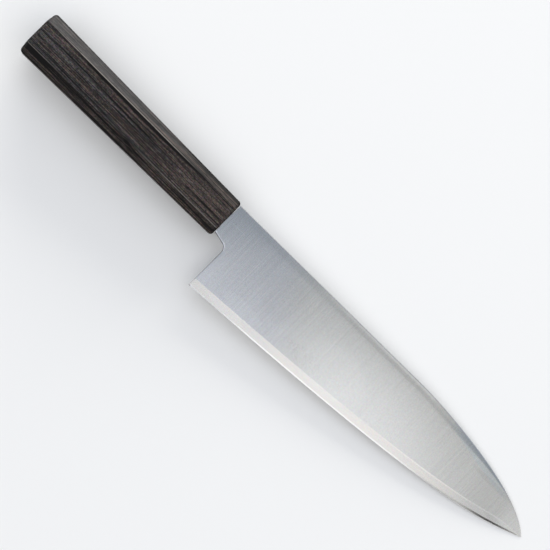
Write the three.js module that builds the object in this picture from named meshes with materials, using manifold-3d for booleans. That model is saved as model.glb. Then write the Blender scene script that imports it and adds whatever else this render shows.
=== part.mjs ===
// Gyuto kitchen knife: a ground steel blade with a hidden tang in an octagonal hardwood handle.
// All sizes are millimetres and all angles are degrees.
// The knife is drawn with the handle axis along +X towards the tip, the handle's front end at
// X = 0, the spine towards +Y and the right cheek up. It is then laid on the table, Z = 0.
import * as THREE from 'three';
import { mergeVertices } from 'three/addons/utils/BufferGeometryUtils.js';
import Module from 'manifold-3d';

const wasm = await Module();
wasm.setup();

// Outline of the blade. Heights are measured from the handle axis.
const BLADE = {
  length: 210,
  heelDepth: 36.5,
  tipDrop: 8.5,
  spineAtHandle: 10.2,
  spineAtCrest: 11,
  crestToTip: 90.5,
};

// How the two outline curves leave their ends. A pull is a share of the curve's own length.
const SPINE_CURVE = { crestPull: 0.123, tipAngle: 45, tipPull: 0.266 };
const EDGE_CURVE = { heelAngle: 3.5, heelPull: 0.76, tipAngle: 21.8, tipPull: 0.128 };

// Neck between the handle and the heel, with the notch behind the heel.
const NECK = { length: 9.7, depth: 8.25, slope: 13, notchRadius: 3.8, edgeEase: 0.4 };

// The grind. Thicknesses are right through the blade, and a fullness of 1 is a flat wedge.
const GRIND = {
  neckThickness: 2.8,
  tipThickness: 0.5,
  taperPower: 0.8,
  spineEase: 0.35,
  cheekFullness: 1.2,
  neckFullness: 1.5,
  plungeLength: 30,
};

// The cheek rolls over towards the spine along the front half of the blade, up to the tip.
const ROLL = {
  width: 3,
  tipWidth: 4.6,
  angle: 4,
  startFromTip: 140,
  fullFromTip: 60,
  fadeFromTip: 34,
  endFromTip: 6,
};

// Polished bevel along the edge, and the honed line at its foot.
const BEVEL = { width: 4.7, thickness: 0.76 };
const HONED = { width: 0.7, thickness: 0.3 };

// The most that each band may take of the blade's depth, or of its half thickness, near the tip.
const TIP_SHARE = { honed: 0.12, bevel: 0.33, roll: 0.33, thickness: 0.5 };

// Octagonal handle: across its narrow sides, across its wide flats, and the 45 degree corner cuts.
const HANDLE_LENGTH = 133;
const HANDLE_BUTT = { height: 26.1, thickness: 20, corner: 5.65 };
const HANDLE_FRONT = { height: 22, thickness: 17.4, corner: 4.1 };
const ARRIS_EASE = 0.4;
const BUTT_ROUND = 2.2;
const FRONT_ROUND = 1.8;

// Hidden tang and what holds it in the handle.
const TANG_ROOT = { height: 9, thickness: 2.4 };
const TANG_END = { height: 5.5, thickness: 1.8 };
const TANG_IN_NECK = 2;
const BEDDING_WALL = 0.6;
const SEAL_LENGTH = 2;
const DOWEL_HEEL = 8;
const DRILL_POINT = 118;
const BUTT_SOLID = 32;
const FIT = 0.3;

// Fineness of the faceted surfaces.
const BLADE_STATIONS = 40;
const TIP_CROWDING = 1.5;
const CHEEK_STEPS = 4;
const NOTCH_STEPS = 12;
const EASE_STEPS = 3;
const END_STEPS = 4;
const ROUND_SIDES = 48;
const HALVINGS = 40;
const MERGE_DISTANCE = 1e-4;

const { lerp, degToRad, radToDeg, smoothstep } = THREE.MathUtils;
const heel = new THREE.Vector2(NECK.length, -BLADE.heelDepth);
const tip = new THREE.Vector2(NECK.length + BLADE.length, -BLADE.tipDrop);

// Solids and surfaces

/** Closes a stack of matching counterclockwise rings into one skin, each end drawn to a point. */
function loft(rings, firstPoint, lastPoint) {
  const count = rings[0].length;
  const points = rings.flat();
  const first = points.push(firstPoint) - 1;
  const last = points.push(lastPoint) - 1;
  const top = (rings.length - 1) * count;
  const corners = [];
  for (let side = 0; side < count; side += 1) {
    const next = (side + 1) % count;
    corners.push(first, next, side);
    for (let ring = 0; ring < top; ring += count) {
      corners.push(ring + side, ring + next, ring + next + count);
      corners.push(ring + side, ring + next + count, ring + side + count);
    }
    corners.push(last, top + side, top + next);
  }
  const geometry = new THREE.BufferGeometry().setFromPoints(points);
  geometry.setIndex(corners);
  return geometry;
}

/** Middle of a ring of points. */
function middle(ring) {
  const sum = ring.reduce((total, point) => total.add(point), new THREE.Vector3());
  return sum.divideScalar(ring.length);
}

/** Lofts rings whose two ends are flat. */
function flatEnded(rings) {
  return loft(rings, middle(rings[0]), middle(rings.at(-1)));
}

/** Sets an outline of [y, z] pairs across the knife at x. */
function across(x, outline) {
  return outline.map(([y, z]) => new THREE.Vector3(x, y, z));
}

/** Closed solid from a geometry. Triangles that shrank to a line at a pole are dropped. */
function solid(geometry) {
  const bare = geometry.clone();
  bare.deleteAttribute('normal');
  bare.deleteAttribute('uv');
  const merged = mergeVertices(bare, MERGE_DISTANCE);
  const corners = merged.index.array;
  const triangles = [];
  for (let i = 0; i < corners.length; i += 3) {
    const [a, b, c] = corners.slice(i, i + 3);
    if (a !== b && b !== c && c !== a) triangles.push(a, b, c);
  }
  const vertProperties = new Float32Array(merged.attributes.position.array);
  const triVerts = new Uint32Array(triangles);
  return new wasm.Manifold(new wasm.Mesh({ numProp: 3, vertProperties, triVerts }));
}

/** Named mesh of a finished solid. */
function piece(name, body, material) {
  const mesh = body.getMesh();
  const geometry = new THREE.BufferGeometry();
  geometry.setAttribute('position', new THREE.BufferAttribute(mesh.vertProperties, 3));
  geometry.setIndex(new THREE.BufferAttribute(mesh.triVerts, 1));
  const part = new THREE.Mesh(geometry, material);
  part.name = name;
  return part;
}

/** Round bar along X from its back end to its front, with an optional point on the back. */
function roundBar(radius, back, front, pointLength = 0) {
  const profile = [
    new THREE.Vector2(0, back - pointLength),
    new THREE.Vector2(radius, back),
    new THREE.Vector2(radius, front),
    new THREE.Vector2(0, front),
  ];
  return solid(new THREE.LatheGeometry(profile, ROUND_SIDES).rotateZ(-Math.PI / 2));
}

/** A width that gives way smoothly where the room for it runs out. */
function limited(width, room) {
  return width * Math.tanh(room / width);
}

// Outline of the blade

/** Unit direction at an angle. */
function direction(angle) {
  return new THREE.Vector2(Math.cos(degToRad(angle)), Math.sin(degToRad(angle)));
}

/** Cubic curve between two points, leaving each one along its own angle. */
function outlineCurve(start, startAngle, startPull, end, endAngle, endPull) {
  const length = end.x - start.x;
  const leave = start.clone().addScaledVector(direction(startAngle), startPull * length);
  const arrive = end.clone().addScaledVector(direction(endAngle), -endPull * length);
  return new THREE.CubicBezierCurve(start, leave, arrive, end);
}

const crest = new THREE.Vector2(tip.x - BLADE.crestToTip, BLADE.spineAtCrest);
const backSlope = (BLADE.spineAtCrest - BLADE.spineAtHandle) / crest.x;
const spineDrop = outlineCurve(
  crest, radToDeg(Math.atan(backSlope)), SPINE_CURVE.crestPull,
  tip, -SPINE_CURVE.tipAngle, SPINE_CURVE.tipPull,
);
const edgeRise = outlineCurve(
  heel, EDGE_CURVE.heelAngle, EDGE_CURVE.heelPull,
  tip, EDGE_CURVE.tipAngle, EDGE_CURVE.tipPull,
);

/** Height at x of a curve that runs steadily along X, found by halving. */
function heightAt(curve, x) {
  let low = 0;
  let high = 1;
  for (let step = 0; step < HALVINGS; step += 1) {
    const half = (low + high) / 2;
    if (curve.getPoint(half).x < x) low = half;
    else high = half;
  }
  return curve.getPoint(low).y;
}

/** The spine: a straight back up to the crest, then the drop to the tip. */
function spineAt(x) {
  if (x < crest.x) return BLADE.spineAtHandle + backSlope * x;
  return heightAt(spineDrop, x);
}

/** The edge, carried straight on behind the heel where the notch cuts it away. */
function edgeAt(x) {
  if (x < heel.x) return heel.y - (heel.x - x) * Math.tan(degToRad(EDGE_CURVE.heelAngle));
  return heightAt(edgeRise, x);
}

// Grind of the blade

/** Thickness at the blade's thickest line, tapering from the neck to the tip. */
function thicknessAt(x) {
  const left = (1 - x / tip.x) ** GRIND.taperPower;
  return lerp(GRIND.tipThickness, GRIND.neckThickness, left);
}

/** One cheek of the blade at x as [y, half thickness] pairs, from the honed line up to the spine. */
function cheekAt(x) {
  const edge = edgeAt(x);
  const spine = spineAt(x);
  const depth = spine - edge;
  const half = thicknessAt(x) / 2;

  const honedWidth = limited(HONED.width, TIP_SHARE.honed * depth);
  const bevelWidth = limited(BEVEL.width, TIP_SHARE.bevel * depth);
  const bevelHalf = limited(BEVEL.thickness / 2, TIP_SHARE.thickness * half);
  const honedHalf = bevelHalf * HONED.thickness / BEVEL.thickness;

  const rolling = smoothstep(x, tip.x - ROLL.startFromTip, tip.x - ROLL.fullFromTip);
  const rolled = rolling * (1 - smoothstep(x, tip.x - ROLL.fadeFromTip, tip.x - ROLL.endFromTip));
  const rollWidth = limited(lerp(ROLL.width, ROLL.tipWidth, rolled), TIP_SHARE.roll * depth);
  const rollDrop = limited(rollWidth * Math.tan(degToRad(ROLL.angle)), TIP_SHARE.thickness * half);
  const spineHalf = half - rolled * rollDrop;
  const ease = limited(GRIND.spineEase, TIP_SHARE.thickness * spineHalf);

  const plunge = smoothstep(x, 0, GRIND.plungeLength);
  const fullness = lerp(GRIND.neckFullness, GRIND.cheekFullness, plunge);
  const cheek = [[edge + honedWidth, honedHalf]];
  for (let step = 0; step <= CHEEK_STEPS; step += 1) {
    const rise = step / CHEEK_STEPS;
    const swell = 1 - (1 - rise) ** fullness;
    cheek.push([lerp(edge + bevelWidth, spine - rollWidth, rise), lerp(bevelHalf, half, swell)]);
  }
  for (let step = 0; step <= EASE_STEPS; step += 1) {
    const turn = step / EASE_STEPS * Math.PI / 2;
    cheek.push([spine - ease * (1 - Math.sin(turn)), spineHalf - ease * (1 - Math.cos(turn))]);
  }
  return cheek;
}

/** The whole cross-section at x: the edge, up the left cheek and down the right one. */
function bladeSection(x) {
  const cheek = cheekAt(x);
  const left = cheek.map(([y, half]) => [y, -half]);
  return across(x, [[edgeAt(x), 0], ...left, ...cheek.reverse()]);
}

// Notch behind the heel

/** Outline of the notch, grown by a margin: down the heel, round the corner, along the neck. */
function notchOutline(margin) {
  const slope = degToRad(NECK.slope);
  const fall = Math.tan(slope);
  const centreX = heel.x - NECK.notchRadius;
  const centreY = -NECK.depth - centreX * fall - NECK.notchRadius / Math.cos(slope);
  const back = -NECK.length;
  const bottom = heel.y - NECK.length;
  const shape = new THREE.Shape();
  shape.moveTo(back, bottom);
  shape.lineTo(heel.x + margin, bottom);
  shape.absarc(centreX, centreY, NECK.notchRadius + margin, 0, Math.PI / 2 - slope);
  shape.lineTo(back, -NECK.depth - back * fall + margin / Math.cos(slope));
  return shape.getPoints(NOTCH_STEPS);
}

/** Cutter for the notch, flaring at both cheeks so that the neck's lower edges come out eased. */
function notchCutter() {
  const inner = GRIND.neckThickness / 2 - NECK.edgeEase;
  const outer = GRIND.neckThickness / 2 + NECK.edgeEase;
  const rings = [-outer, -inner, inner, outer].map((z) => {
    const outline = notchOutline(Math.abs(z) - inner);
    return outline.map(({ x, y }) => new THREE.Vector3(x, y, z));
  });
  return solid(flatEnded(rings));
}

// Places along the handle axis, from the handle's front inwards

const shoulder = FIT;
const sealBack = -SEAL_LENGTH;
const dowelFront = sealBack - FIT;
const beddingMargin = FIT + BEDDING_WALL;
const kerfHalf = TANG_ROOT.thickness / 2 + beddingMargin + FIT;
const plugRadius = Math.hypot(TANG_ROOT.height / 2 + beddingMargin, kerfHalf - FIT);
const boreRadius = plugRadius + FIT;
const borePoint = boreRadius / Math.tan(degToRad(DRILL_POINT / 2));
const boreBack = -HANDLE_LENGTH + BUTT_SOLID + borePoint;
const dowelBack = boreBack + FIT;
const kerfBack = dowelBack + DOWEL_HEEL;
const beddingBack = kerfBack + FIT;
const tangBack = beddingBack + beddingMargin;

// Blade with its tang, and what holds the tang

/** Cross-section of the tang at x, with a margin all round. */
function tangSection(x, margin) {
  const along = x / tangBack;
  const y = lerp(TANG_ROOT.height, TANG_END.height, along) / 2 + margin;
  const z = lerp(TANG_ROOT.thickness, TANG_END.thickness, along) / 2 + margin;
  return across(x, [[-y, -z], [y, -z], [y, z], [-y, z]]);
}

/** Tapered bar that follows the tang from one place to another, with a margin all round. */
function tangBar(back, front, margin) {
  return solid(flatEnded([tangSection(back, margin), tangSection(front, margin)]));
}

/** Blade, neck and tang as one forged piece. */
function makeBlade() {
  const rings = [];
  for (let station = 0; station < BLADE_STATIONS; station += 1) {
    const left = (1 - station / BLADE_STATIONS) ** TIP_CROWDING;
    rings.push(bladeSection(lerp(tip.x, shoulder, left)));
  }
  const blank = solid(loft(rings, middle(rings[0]), new THREE.Vector3(tip.x, tip.y, 0)));
  const tang = tangBar(tangBack, shoulder + TANG_IN_NECK, 0);
  return blank.subtract(notchCutter()).add(tang);
}

/** Resin round the tang, open at the front. */
function makeBedding() {
  const outside = tangBar(beddingBack, dowelFront, beddingMargin);
  const inside = tangBar(tangBack - FIT, 0, FIT);
  return outside.subtract(inside);
}

/** Softwood dowel, sawn down the middle from the front to take the tang. */
function makeDowel() {
  const kerf = new THREE.BoxGeometry(2 * (dowelFront - kerfBack), 4 * plugRadius, 2 * kerfHalf);
  kerf.translate(dowelFront, 0, 0);
  return roundBar(plugRadius, dowelBack, dowelFront).subtract(solid(kerf));
}

/** Resin plug at the mouth of the bore, with the tang passing through. */
function makeSeal() {
  return roundBar(plugRadius, sealBack, 0).subtract(tangBar(sealBack - FIT, FIT, FIT));
}

// Handle

/** Octagon with eased corners, every side drawn in by an inset. */
function octagon({ height, thickness, corner }, inset) {
  const y = height / 2 - inset;
  const z = thickness / 2 - inset;
  const cut = corner - inset * (2 - Math.SQRT2);
  const sharp = [
    [y - cut, -z], [y, cut - z], [y, z - cut], [y - cut, z],
    [cut - y, z], [-y, z - cut], [-y, cut - z], [cut - y, -z],
  ].map((pair) => new THREE.Vector2(...pair));
  return sharp.flatMap((point, index) => {
    const before = sharp.at(index - 1);
    const after = sharp[(index + 1) % sharp.length];
    const enter = before.clone().sub(point).setLength(ARRIS_EASE).add(point);
    const leave = after.clone().sub(point).setLength(ARRIS_EASE).add(point);
    const arc = new THREE.QuadraticBezierCurve(enter, point, leave);
    return arc.getPoints(EASE_STEPS).map((eased) => eased.toArray());
  });
}

/** The handle's cross-section at x, drawn in by an inset. */
function handleSection(x, inset) {
  const along = -x / HANDLE_LENGTH;
  const size = (key) => lerp(HANDLE_FRONT[key], HANDLE_BUTT[key], along);
  const sizes = { height: size('height'), thickness: size('thickness'), corner: size('corner') };
  return across(x, octagon(sizes, inset));
}

/** Sections of one rounded handle end, from its flat face to where the long facets start. */
function roundedEnd(end, radius, inward) {
  const sections = [];
  for (let step = 0; step <= END_STEPS; step += 1) {
    const turn = step / END_STEPS * Math.PI / 2;
    const x = end + inward * radius * (1 - Math.cos(turn));
    sections.push(handleSection(x, radius * (1 - Math.sin(turn))));
  }
  return sections;
}

/** Octagonal handle with rounded ends, bored from the front for the dowel and the seal. */
function makeHandle() {
  const butt = roundedEnd(-HANDLE_LENGTH, BUTT_ROUND, 1);
  const front = roundedEnd(0, FRONT_ROUND, -1);
  const blank = solid(flatEnded([...butt, ...front.reverse()]));
  return blank.subtract(roundBar(boreRadius, boreBack, FIT, borePoint));
}

// Finishes

/** Plain finish with flat facets. */
function finish(color, roughness, metalness) {
  return new THREE.MeshStandardMaterial({ color, roughness, metalness, flatShading: true });
}

const satinSteel = finish(0xb9bcbf, 0.34, 1);
const darkWood = finish(0x2b2320, 0.55, 0);
const paleWood = finish(0xcdb38a, 0.8, 0);
const amberResin = finish(0xa8834a, 0.3, 0);
const darkResin = finish(0x171412, 0.45, 0);

// The knife, laid on the table

/** Corner points of a mesh. */
function cornersOf(mesh) {
  const position = mesh.geometry.attributes.position;
  const indices = [...Array(position.count).keys()];
  return indices.map((index) => new THREE.Vector3().fromBufferAttribute(position, index));
}

/** Nose-down angle at which one flat table carries the handle behind and the blade in front. */
function restingLean(behind, inFront) {
  const ahead = cornersOf(inFront).filter((corner) => corner.x > 0);
  const leans = cornersOf(behind).map((from) => {
    const rises = ahead.map((to) => Math.atan2(to.z - from.z, to.x - from.x));
    return Math.min(...rises);
  });
  return Math.max(...leans);
}

const blade = piece('blade', makeBlade(), satinSteel);
const handle = piece('handle', makeHandle(), darkWood);
const knife = new THREE.Group();
knife.add(
  blade,
  handle,
  piece('tang_dowel', makeDowel(), paleWood),
  piece('tang_bedding', makeBedding(), amberResin),
  piece('mouth_seal', makeSeal(), darkResin),
);
knife.rotation.y = restingLean(handle, blade);

const gyuto = new THREE.Group();
gyuto.add(knife);
const box = new THREE.Box3().setFromObject(gyuto, true);
const centre = box.getCenter(new THREE.Vector3());
knife.position.set(-centre.x, -centre.y, -box.min.z);

export default gyuto;
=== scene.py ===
"""Gyuto kitchen knife: a brushed steel blade with a hidden tang in an octagonal dark hardwood handle.

Sizes are millimetres and angles are degrees in the knife's own frame: X runs along the handle axis
towards the tip with the handle's front end at X = 0, Y points to the spine, and Z points out of the
right cheek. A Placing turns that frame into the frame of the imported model, which is in metres.
"""

import logging
import math
from dataclasses import asdict, dataclass, field
from enum import Enum

import bmesh
import bpy
import numpy as np
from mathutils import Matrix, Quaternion, Vector


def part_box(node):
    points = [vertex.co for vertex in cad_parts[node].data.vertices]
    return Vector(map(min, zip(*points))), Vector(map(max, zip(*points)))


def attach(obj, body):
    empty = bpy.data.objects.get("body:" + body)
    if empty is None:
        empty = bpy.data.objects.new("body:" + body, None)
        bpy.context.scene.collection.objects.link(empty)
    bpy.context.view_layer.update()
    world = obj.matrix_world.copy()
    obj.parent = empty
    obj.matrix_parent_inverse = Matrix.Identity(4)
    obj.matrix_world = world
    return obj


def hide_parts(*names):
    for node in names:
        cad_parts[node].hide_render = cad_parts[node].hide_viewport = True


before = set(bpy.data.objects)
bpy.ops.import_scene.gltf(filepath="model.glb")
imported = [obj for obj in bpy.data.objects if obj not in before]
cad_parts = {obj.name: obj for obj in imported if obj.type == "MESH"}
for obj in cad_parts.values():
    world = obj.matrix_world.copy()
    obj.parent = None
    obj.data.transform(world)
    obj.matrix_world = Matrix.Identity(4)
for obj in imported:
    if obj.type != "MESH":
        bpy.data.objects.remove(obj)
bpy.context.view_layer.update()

MM = 0.001
BODY = "root"
CURVE_SAMPLES = 4001
WELD_DISTANCE = 2e-4
SHARP_ANGLE = 30.0

# Least divisor, room for rounded coordinates, and how near 1 a reach is on its line
TINY = 1e-9
COORDINATE_SLACK = 1e-6
LINE_NEARNESS = 1e-3

Colour = tuple[float, float, float]
Triple = tuple[float, float, float]
Point = tuple[float, float]
Span = tuple[float, float, float, float]

log = logging.getLogger("gyuto")


class CadNode(str, Enum):
    """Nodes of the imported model."""

    BLADE = "blade"
    HANDLE = "handle"
    DOWEL = "tang_dowel"
    BEDDING = "tang_bedding"
    SEAL = "mouth_seal"


class Slot(str, Enum):
    """Material slots of the record."""

    STEEL = "blade_steel"
    HANDLE_WOOD = "handle_wood"
    DOWEL_WOOD = "dowel_wood"
    BEDDING_RESIN = "bedding_resin"
    SEAL_RESIN = "seal_resin"


class Side(Enum):
    """The two cheeks of the blade, by the sign of Z."""

    RIGHT = 1.0
    LEFT = -1.0


class Reach(str, Enum):
    """Attributes of the blade's points: how far up from the edge they lie, with 1 on the named line."""

    HONED = "honed_reach"
    BEVEL = "bevel_reach"


class End(str, Enum):
    """Ends of the handle, as the inputs of its node tree name them."""

    BUTT = "Butt"
    FRONT = "Front"


class HandleMark(str, Enum):
    """Attributes of the handle's points: 1 in the middle of a rounded arris or rim, 0 on the flats."""

    ARRIS = "arris"
    RIM = "rim"


class Blend(str, Enum):
    """How a second colour meets the first."""

    MIX = "MIX"
    MULTIPLY = "MULTIPLY"
    ADD = "ADD"


# Numbers and places


def lerp(start: np.ndarray, end: np.ndarray, share: np.ndarray) -> np.ndarray:
    """Value a share of the way from start to end."""
    return start + (end - start) * share


def share_between(value: np.ndarray, low: np.ndarray, high: np.ndarray) -> np.ndarray:
    """Share of the way from low to high, kept from 0 to 1."""
    return np.clip((value - low) / np.maximum(high - low, TINY), 0.0, 1.0)


def smoothstep(value: np.ndarray, low: float, high: float) -> np.ndarray:
    """Smooth rise from 0 at low to 1 at high."""
    share = share_between(value, low, high)
    return share * share * (3.0 - 2.0 * share)


def limited(width: np.ndarray, room: np.ndarray) -> np.ndarray:
    """A width that gives way smoothly where the room for it runs out."""
    return width * np.tanh(room / width)


def direction(angle: float) -> np.ndarray:
    """Unit vector at an angle in degrees."""
    return np.array([math.cos(math.radians(angle)), math.sin(math.radians(angle))])


def box_centre(node: CadNode) -> Vector:
    """Middle of a CAD node's box, in metres."""
    low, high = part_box(node.value)
    return (low + high) / 2


@dataclass(frozen=True)
class Placing:
    """Where the knife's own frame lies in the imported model.

    Attributes:
        origin: Place of the handle's front end on the handle axis, in metres.
        lean: Nose-down angle of the handle axis, in radians.
    """

    origin: Vector
    lean: float

    @classmethod
    def along_axis(cls, seal_length: float) -> "Placing":
        """Finds the handle axis from the two round pieces that lie on it.

        Args:
            seal_length: Length of the resin plug, whose front is flush with the handle's.

        Returns:
            The place of the knife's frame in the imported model.
        """
        seal = box_centre(CadNode.SEAL)
        along = (seal - box_centre(CadNode.DOWEL)).normalized()
        return cls(seal + along * (seal_length / 2 * MM), math.atan2(-along.z, along.x))

    def place(self, points: np.ndarray) -> np.ndarray:
        """Turns points of the knife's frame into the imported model's frame.

        Args:
            points: Rows of X, Y and Z in millimetres.

        Returns:
            The same points in metres.
        """
        sine, cosine = math.sin(self.lean), math.cos(self.lean)
        turn = np.array([[cosine, 0.0, sine], [0.0, 1.0, 0.0], [-sine, 0.0, cosine]])
        return points @ turn.T * MM + np.array(self.origin)


# Node trees written as expressions


class Wire:
    """A node's output, used like a number in Python expressions."""

    def __init__(self, graph: "Graph", socket: bpy.types.NodeSocket) -> None:
        """Wraps one output socket of the graph's tree."""
        self.graph = graph
        self.socket = socket

    def __add__(self, other: "Wire | float") -> "Wire":
        """Sum."""
        return self.graph.math("ADD", self, other)

    def __radd__(self, other: float) -> "Wire":
        """Sum with the number in front."""
        return self.graph.math("ADD", other, self)

    def __sub__(self, other: "Wire | float") -> "Wire":
        """Difference."""
        return self.graph.math("SUBTRACT", self, other)

    def __rsub__(self, other: float) -> "Wire":
        """Difference with the number in front."""
        return self.graph.math("SUBTRACT", other, self)

    def __neg__(self) -> "Wire":
        """Opposite."""
        return 0.0 - self

    def __mul__(self, other: "Wire | float") -> "Wire":
        """Product."""
        return self.graph.math("MULTIPLY", self, other)

    def __rmul__(self, other: float) -> "Wire":
        """Product with the number in front."""
        return self.graph.math("MULTIPLY", other, self)

    def __truediv__(self, other: "Wire | float") -> "Wire":
        """Quotient."""
        return self.graph.math("DIVIDE", self, other)

    def __gt__(self, other: "Wire | float") -> "Wire":
        """1 where this is the greater value, and 0 elsewhere."""
        return self.graph.math("GREATER_THAN", self, other)


@dataclass(frozen=True)
class Pattern:
    """Noise that mottles a finish.

    Attributes:
        cells: Cells to the millimetre along X, Y and Z.
        shift: Moves the pattern, so that two patterns differ.
        octaves: Octaves of finer noise.
        gain: How strongly it changes the colour.
        rough: How much it adds to the roughness.
        relief: How much it raises the surface.
    """

    cells: Triple
    shift: float
    octaves: float = 2.0
    gain: float = 1.0
    rough: float = 0.0
    relief: float = 0.0


class Graph:
    """Builds one node tree, for a shader or for geometry."""

    def __init__(self, tree: bpy.types.NodeTree) -> None:
        """Empties the tree and starts on it."""
        tree.nodes.clear()
        self.tree = tree

    @staticmethod
    def pick(sockets: bpy.types.bpy_prop_collection, key: int | str) -> bpy.types.NodeSocket:
        """Finds a socket.

        Args:
            sockets: A node's inputs or outputs.
            key: The socket's place or its identifier.

        Returns:
            The socket.
        """
        if isinstance(key, int):
            return sockets[key]
        return next(socket for socket in sockets if socket.identifier == key)

    def add(
        self,
        kind: str,
        settings: dict[str, object] | None = None,
        sockets: dict[int | str, object] | None = None,
        output: int | str | None = 0,
    ) -> Wire | None:
        """Adds a node.

        Args:
            kind: The node's type.
            settings: Its own properties, set first. Stops are a ramp's places and colours.
            sockets: Values or wires of its inputs, by place or identifier.
            output: The output that is wanted, or None for a node without one.

        Returns:
            The wanted output.
        """
        node = self.tree.nodes.new(kind)
        for name, value in (settings or {}).items():
            if name == "stops":
                self.set_stops(node.color_ramp, value)
            else:
                setattr(node, name, value)
        for key, value in (sockets or {}).items():
            socket = self.pick(node.inputs, key)
            if isinstance(value, Wire):
                self.tree.links.new(value.socket, socket)
            else:
                socket.default_value = value
        return None if output is None else Wire(self, self.pick(node.outputs, output))

    @staticmethod
    def set_stops(ramp: bpy.types.ColorRamp, stops: list[tuple[float, Colour]]) -> None:
        """Gives a colour ramp its stops.

        Args:
            ramp: The ramp.
            stops: Place and colour of each stop, in order.
        """
        while len(ramp.elements) < len(stops):
            ramp.elements.new(1.0)
        for element, (place, colour) in zip(ramp.elements, stops):
            element.position = place
            element.color = (*colour, 1.0)

    def math(self, operation: str, *values: Wire | float) -> Wire:
        """Adds a Math node."""
        return self.add("ShaderNodeMath", {"operation": operation}, dict(enumerate(values)))

    def vector(self, operation: str, *vectors: Wire | Triple) -> Wire:
        """Adds a Vector Math node that gives a vector."""
        return self.add("ShaderNodeVectorMath", {"operation": operation}, dict(enumerate(vectors)))

    def measure(self, operation: str, *vectors: Wire | Triple) -> Wire:
        """Adds a Vector Math node that gives a value."""
        settings = {"operation": operation}
        return self.add("ShaderNodeVectorMath", settings, dict(enumerate(vectors)), "Value")

    def combine(self, x: Wire | float, y: Wire | float, z: Wire | float) -> Wire:
        """Joins three values into a vector."""
        return self.add("ShaderNodeCombineXYZ", sockets={"X": x, "Y": y, "Z": z})

    def split(self, vector: Wire) -> tuple[Wire, Wire, Wire]:
        """Takes a vector apart."""
        first = self.add("ShaderNodeSeparateXYZ", sockets={"Vector": vector})
        return tuple(Wire(self, socket) for socket in first.socket.node.outputs)

    def clamp(self, value: Wire) -> Wire:
        """Keeps a value from 0 to 1."""
        return self.add("ShaderNodeClamp", sockets={"Value": value})

    def smooth(self, value: Wire, low: float, high: float) -> Wire:
        """Rises or falls smoothly.

        Args:
            value: What it follows.
            low: Where it is 0.
            high: Where it is 1, which may be below low.

        Returns:
            From 0 to 1.
        """
        if low > high:
            return 1.0 - self.smooth(value, high, low)
        sockets = {"Value": value, "From Min": low, "From Max": high}
        return self.add("ShaderNodeMapRange", {"interpolation_type": "SMOOTHSTEP"}, sockets)

    def swell(self, value: Wire, span: Span) -> Wire:
        """Smooth rise between a span's first two places, and fall between its last two."""
        start, whole, ending, end = span
        return self.smooth(value, start, whole) * self.smooth(value, end, ending)

    def oval(self, place: tuple[Wire, Wire], middle: Point, half: Point) -> Wire:
        """Square of the distance from an oval's middle.

        Args:
            place: Where it is measured.
            middle: The oval's middle.
            half: Half its length and height.

        Returns:
            The square, with 1 on the oval's rim.
        """
        across, up = ((at - to) / size for at, to, size in zip(place, middle, half))
        return across * across + up * up

    def mix_vectors(self, start: Wire, end: Wire, share: Wire) -> Wire:
        """Mixes two vectors.

        Args:
            start: The vector where the share is 0.
            end: The vector where it is 1.
            share: Any number.

        Returns:
            The mixed vector.
        """
        sockets = {"Factor_Float": share, "A_Vector": start, "B_Vector": end}
        settings = {"data_type": "VECTOR", "clamp_factor": False}
        return self.add("ShaderNodeMix", settings, sockets, "Result_Vector")

    def mix_colours(
        self,
        start: Wire | Colour,
        end: Wire | Colour,
        share: Wire | float,
        blend: Blend = Blend.MIX,
    ) -> Wire:
        """Mixes two colours.

        Args:
            start: The colour where the share is 0.
            end: The colour that comes in with the share.
            share: From 0 to 1.
            blend: How the second colour meets the first.

        Returns:
            The mixed colour.
        """
        sockets: dict[int | str, object] = {"Factor_Float": share}
        for key, colour in (("A_Color", start), ("B_Color", end)):
            sockets[key] = colour if isinstance(colour, Wire) else (*colour, 1.0)
        settings = {"data_type": "RGBA", "blend_type": blend.value}
        return self.add("ShaderNodeMix", settings, sockets, "Result_Color")

    def multiply(self, start: Wire, end: Wire | Colour, share: Wire | float = 1.0) -> Wire:
        """Multiplies two colours, as far as the share goes."""
        return self.mix_colours(start, end, share, Blend.MULTIPLY)

    def grey(self, value: Wire) -> Wire:
        """A value as a colour."""
        return self.combine(value, value, value)

    def noise(self, point: Wire, pattern: Pattern, output: str = "Fac") -> Wire:
        """Adds a noise from 0 to 1.

        Args:
            point: Place in millimetres.
            pattern: The noise's cells, shift and octaves.
            output: Fac for a value, or Color for three values.

        Returns:
            The noise value or colour.
        """
        shift = (pattern.shift, pattern.shift, pattern.shift)
        cell = self.vector("MULTIPLY_ADD", point, pattern.cells, shift)
        sockets = {"Vector": cell, "Scale": 1.0, "Detail": pattern.octaves}
        return self.add("ShaderNodeTexNoise", sockets=sockets, output=output)

    def tinge(self, point: Wire, pattern: Pattern) -> Wire:
        """Adds a coloured noise about white."""
        hues = self.noise(point, pattern, "Color")
        return self.vector("ADD", hues, hues)

    def attribute(self, name: str) -> Wire:
        """A value that the mesh carries at its points."""
        return self.add("ShaderNodeAttribute", {"attribute_name": name}, output="Fac")


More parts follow.
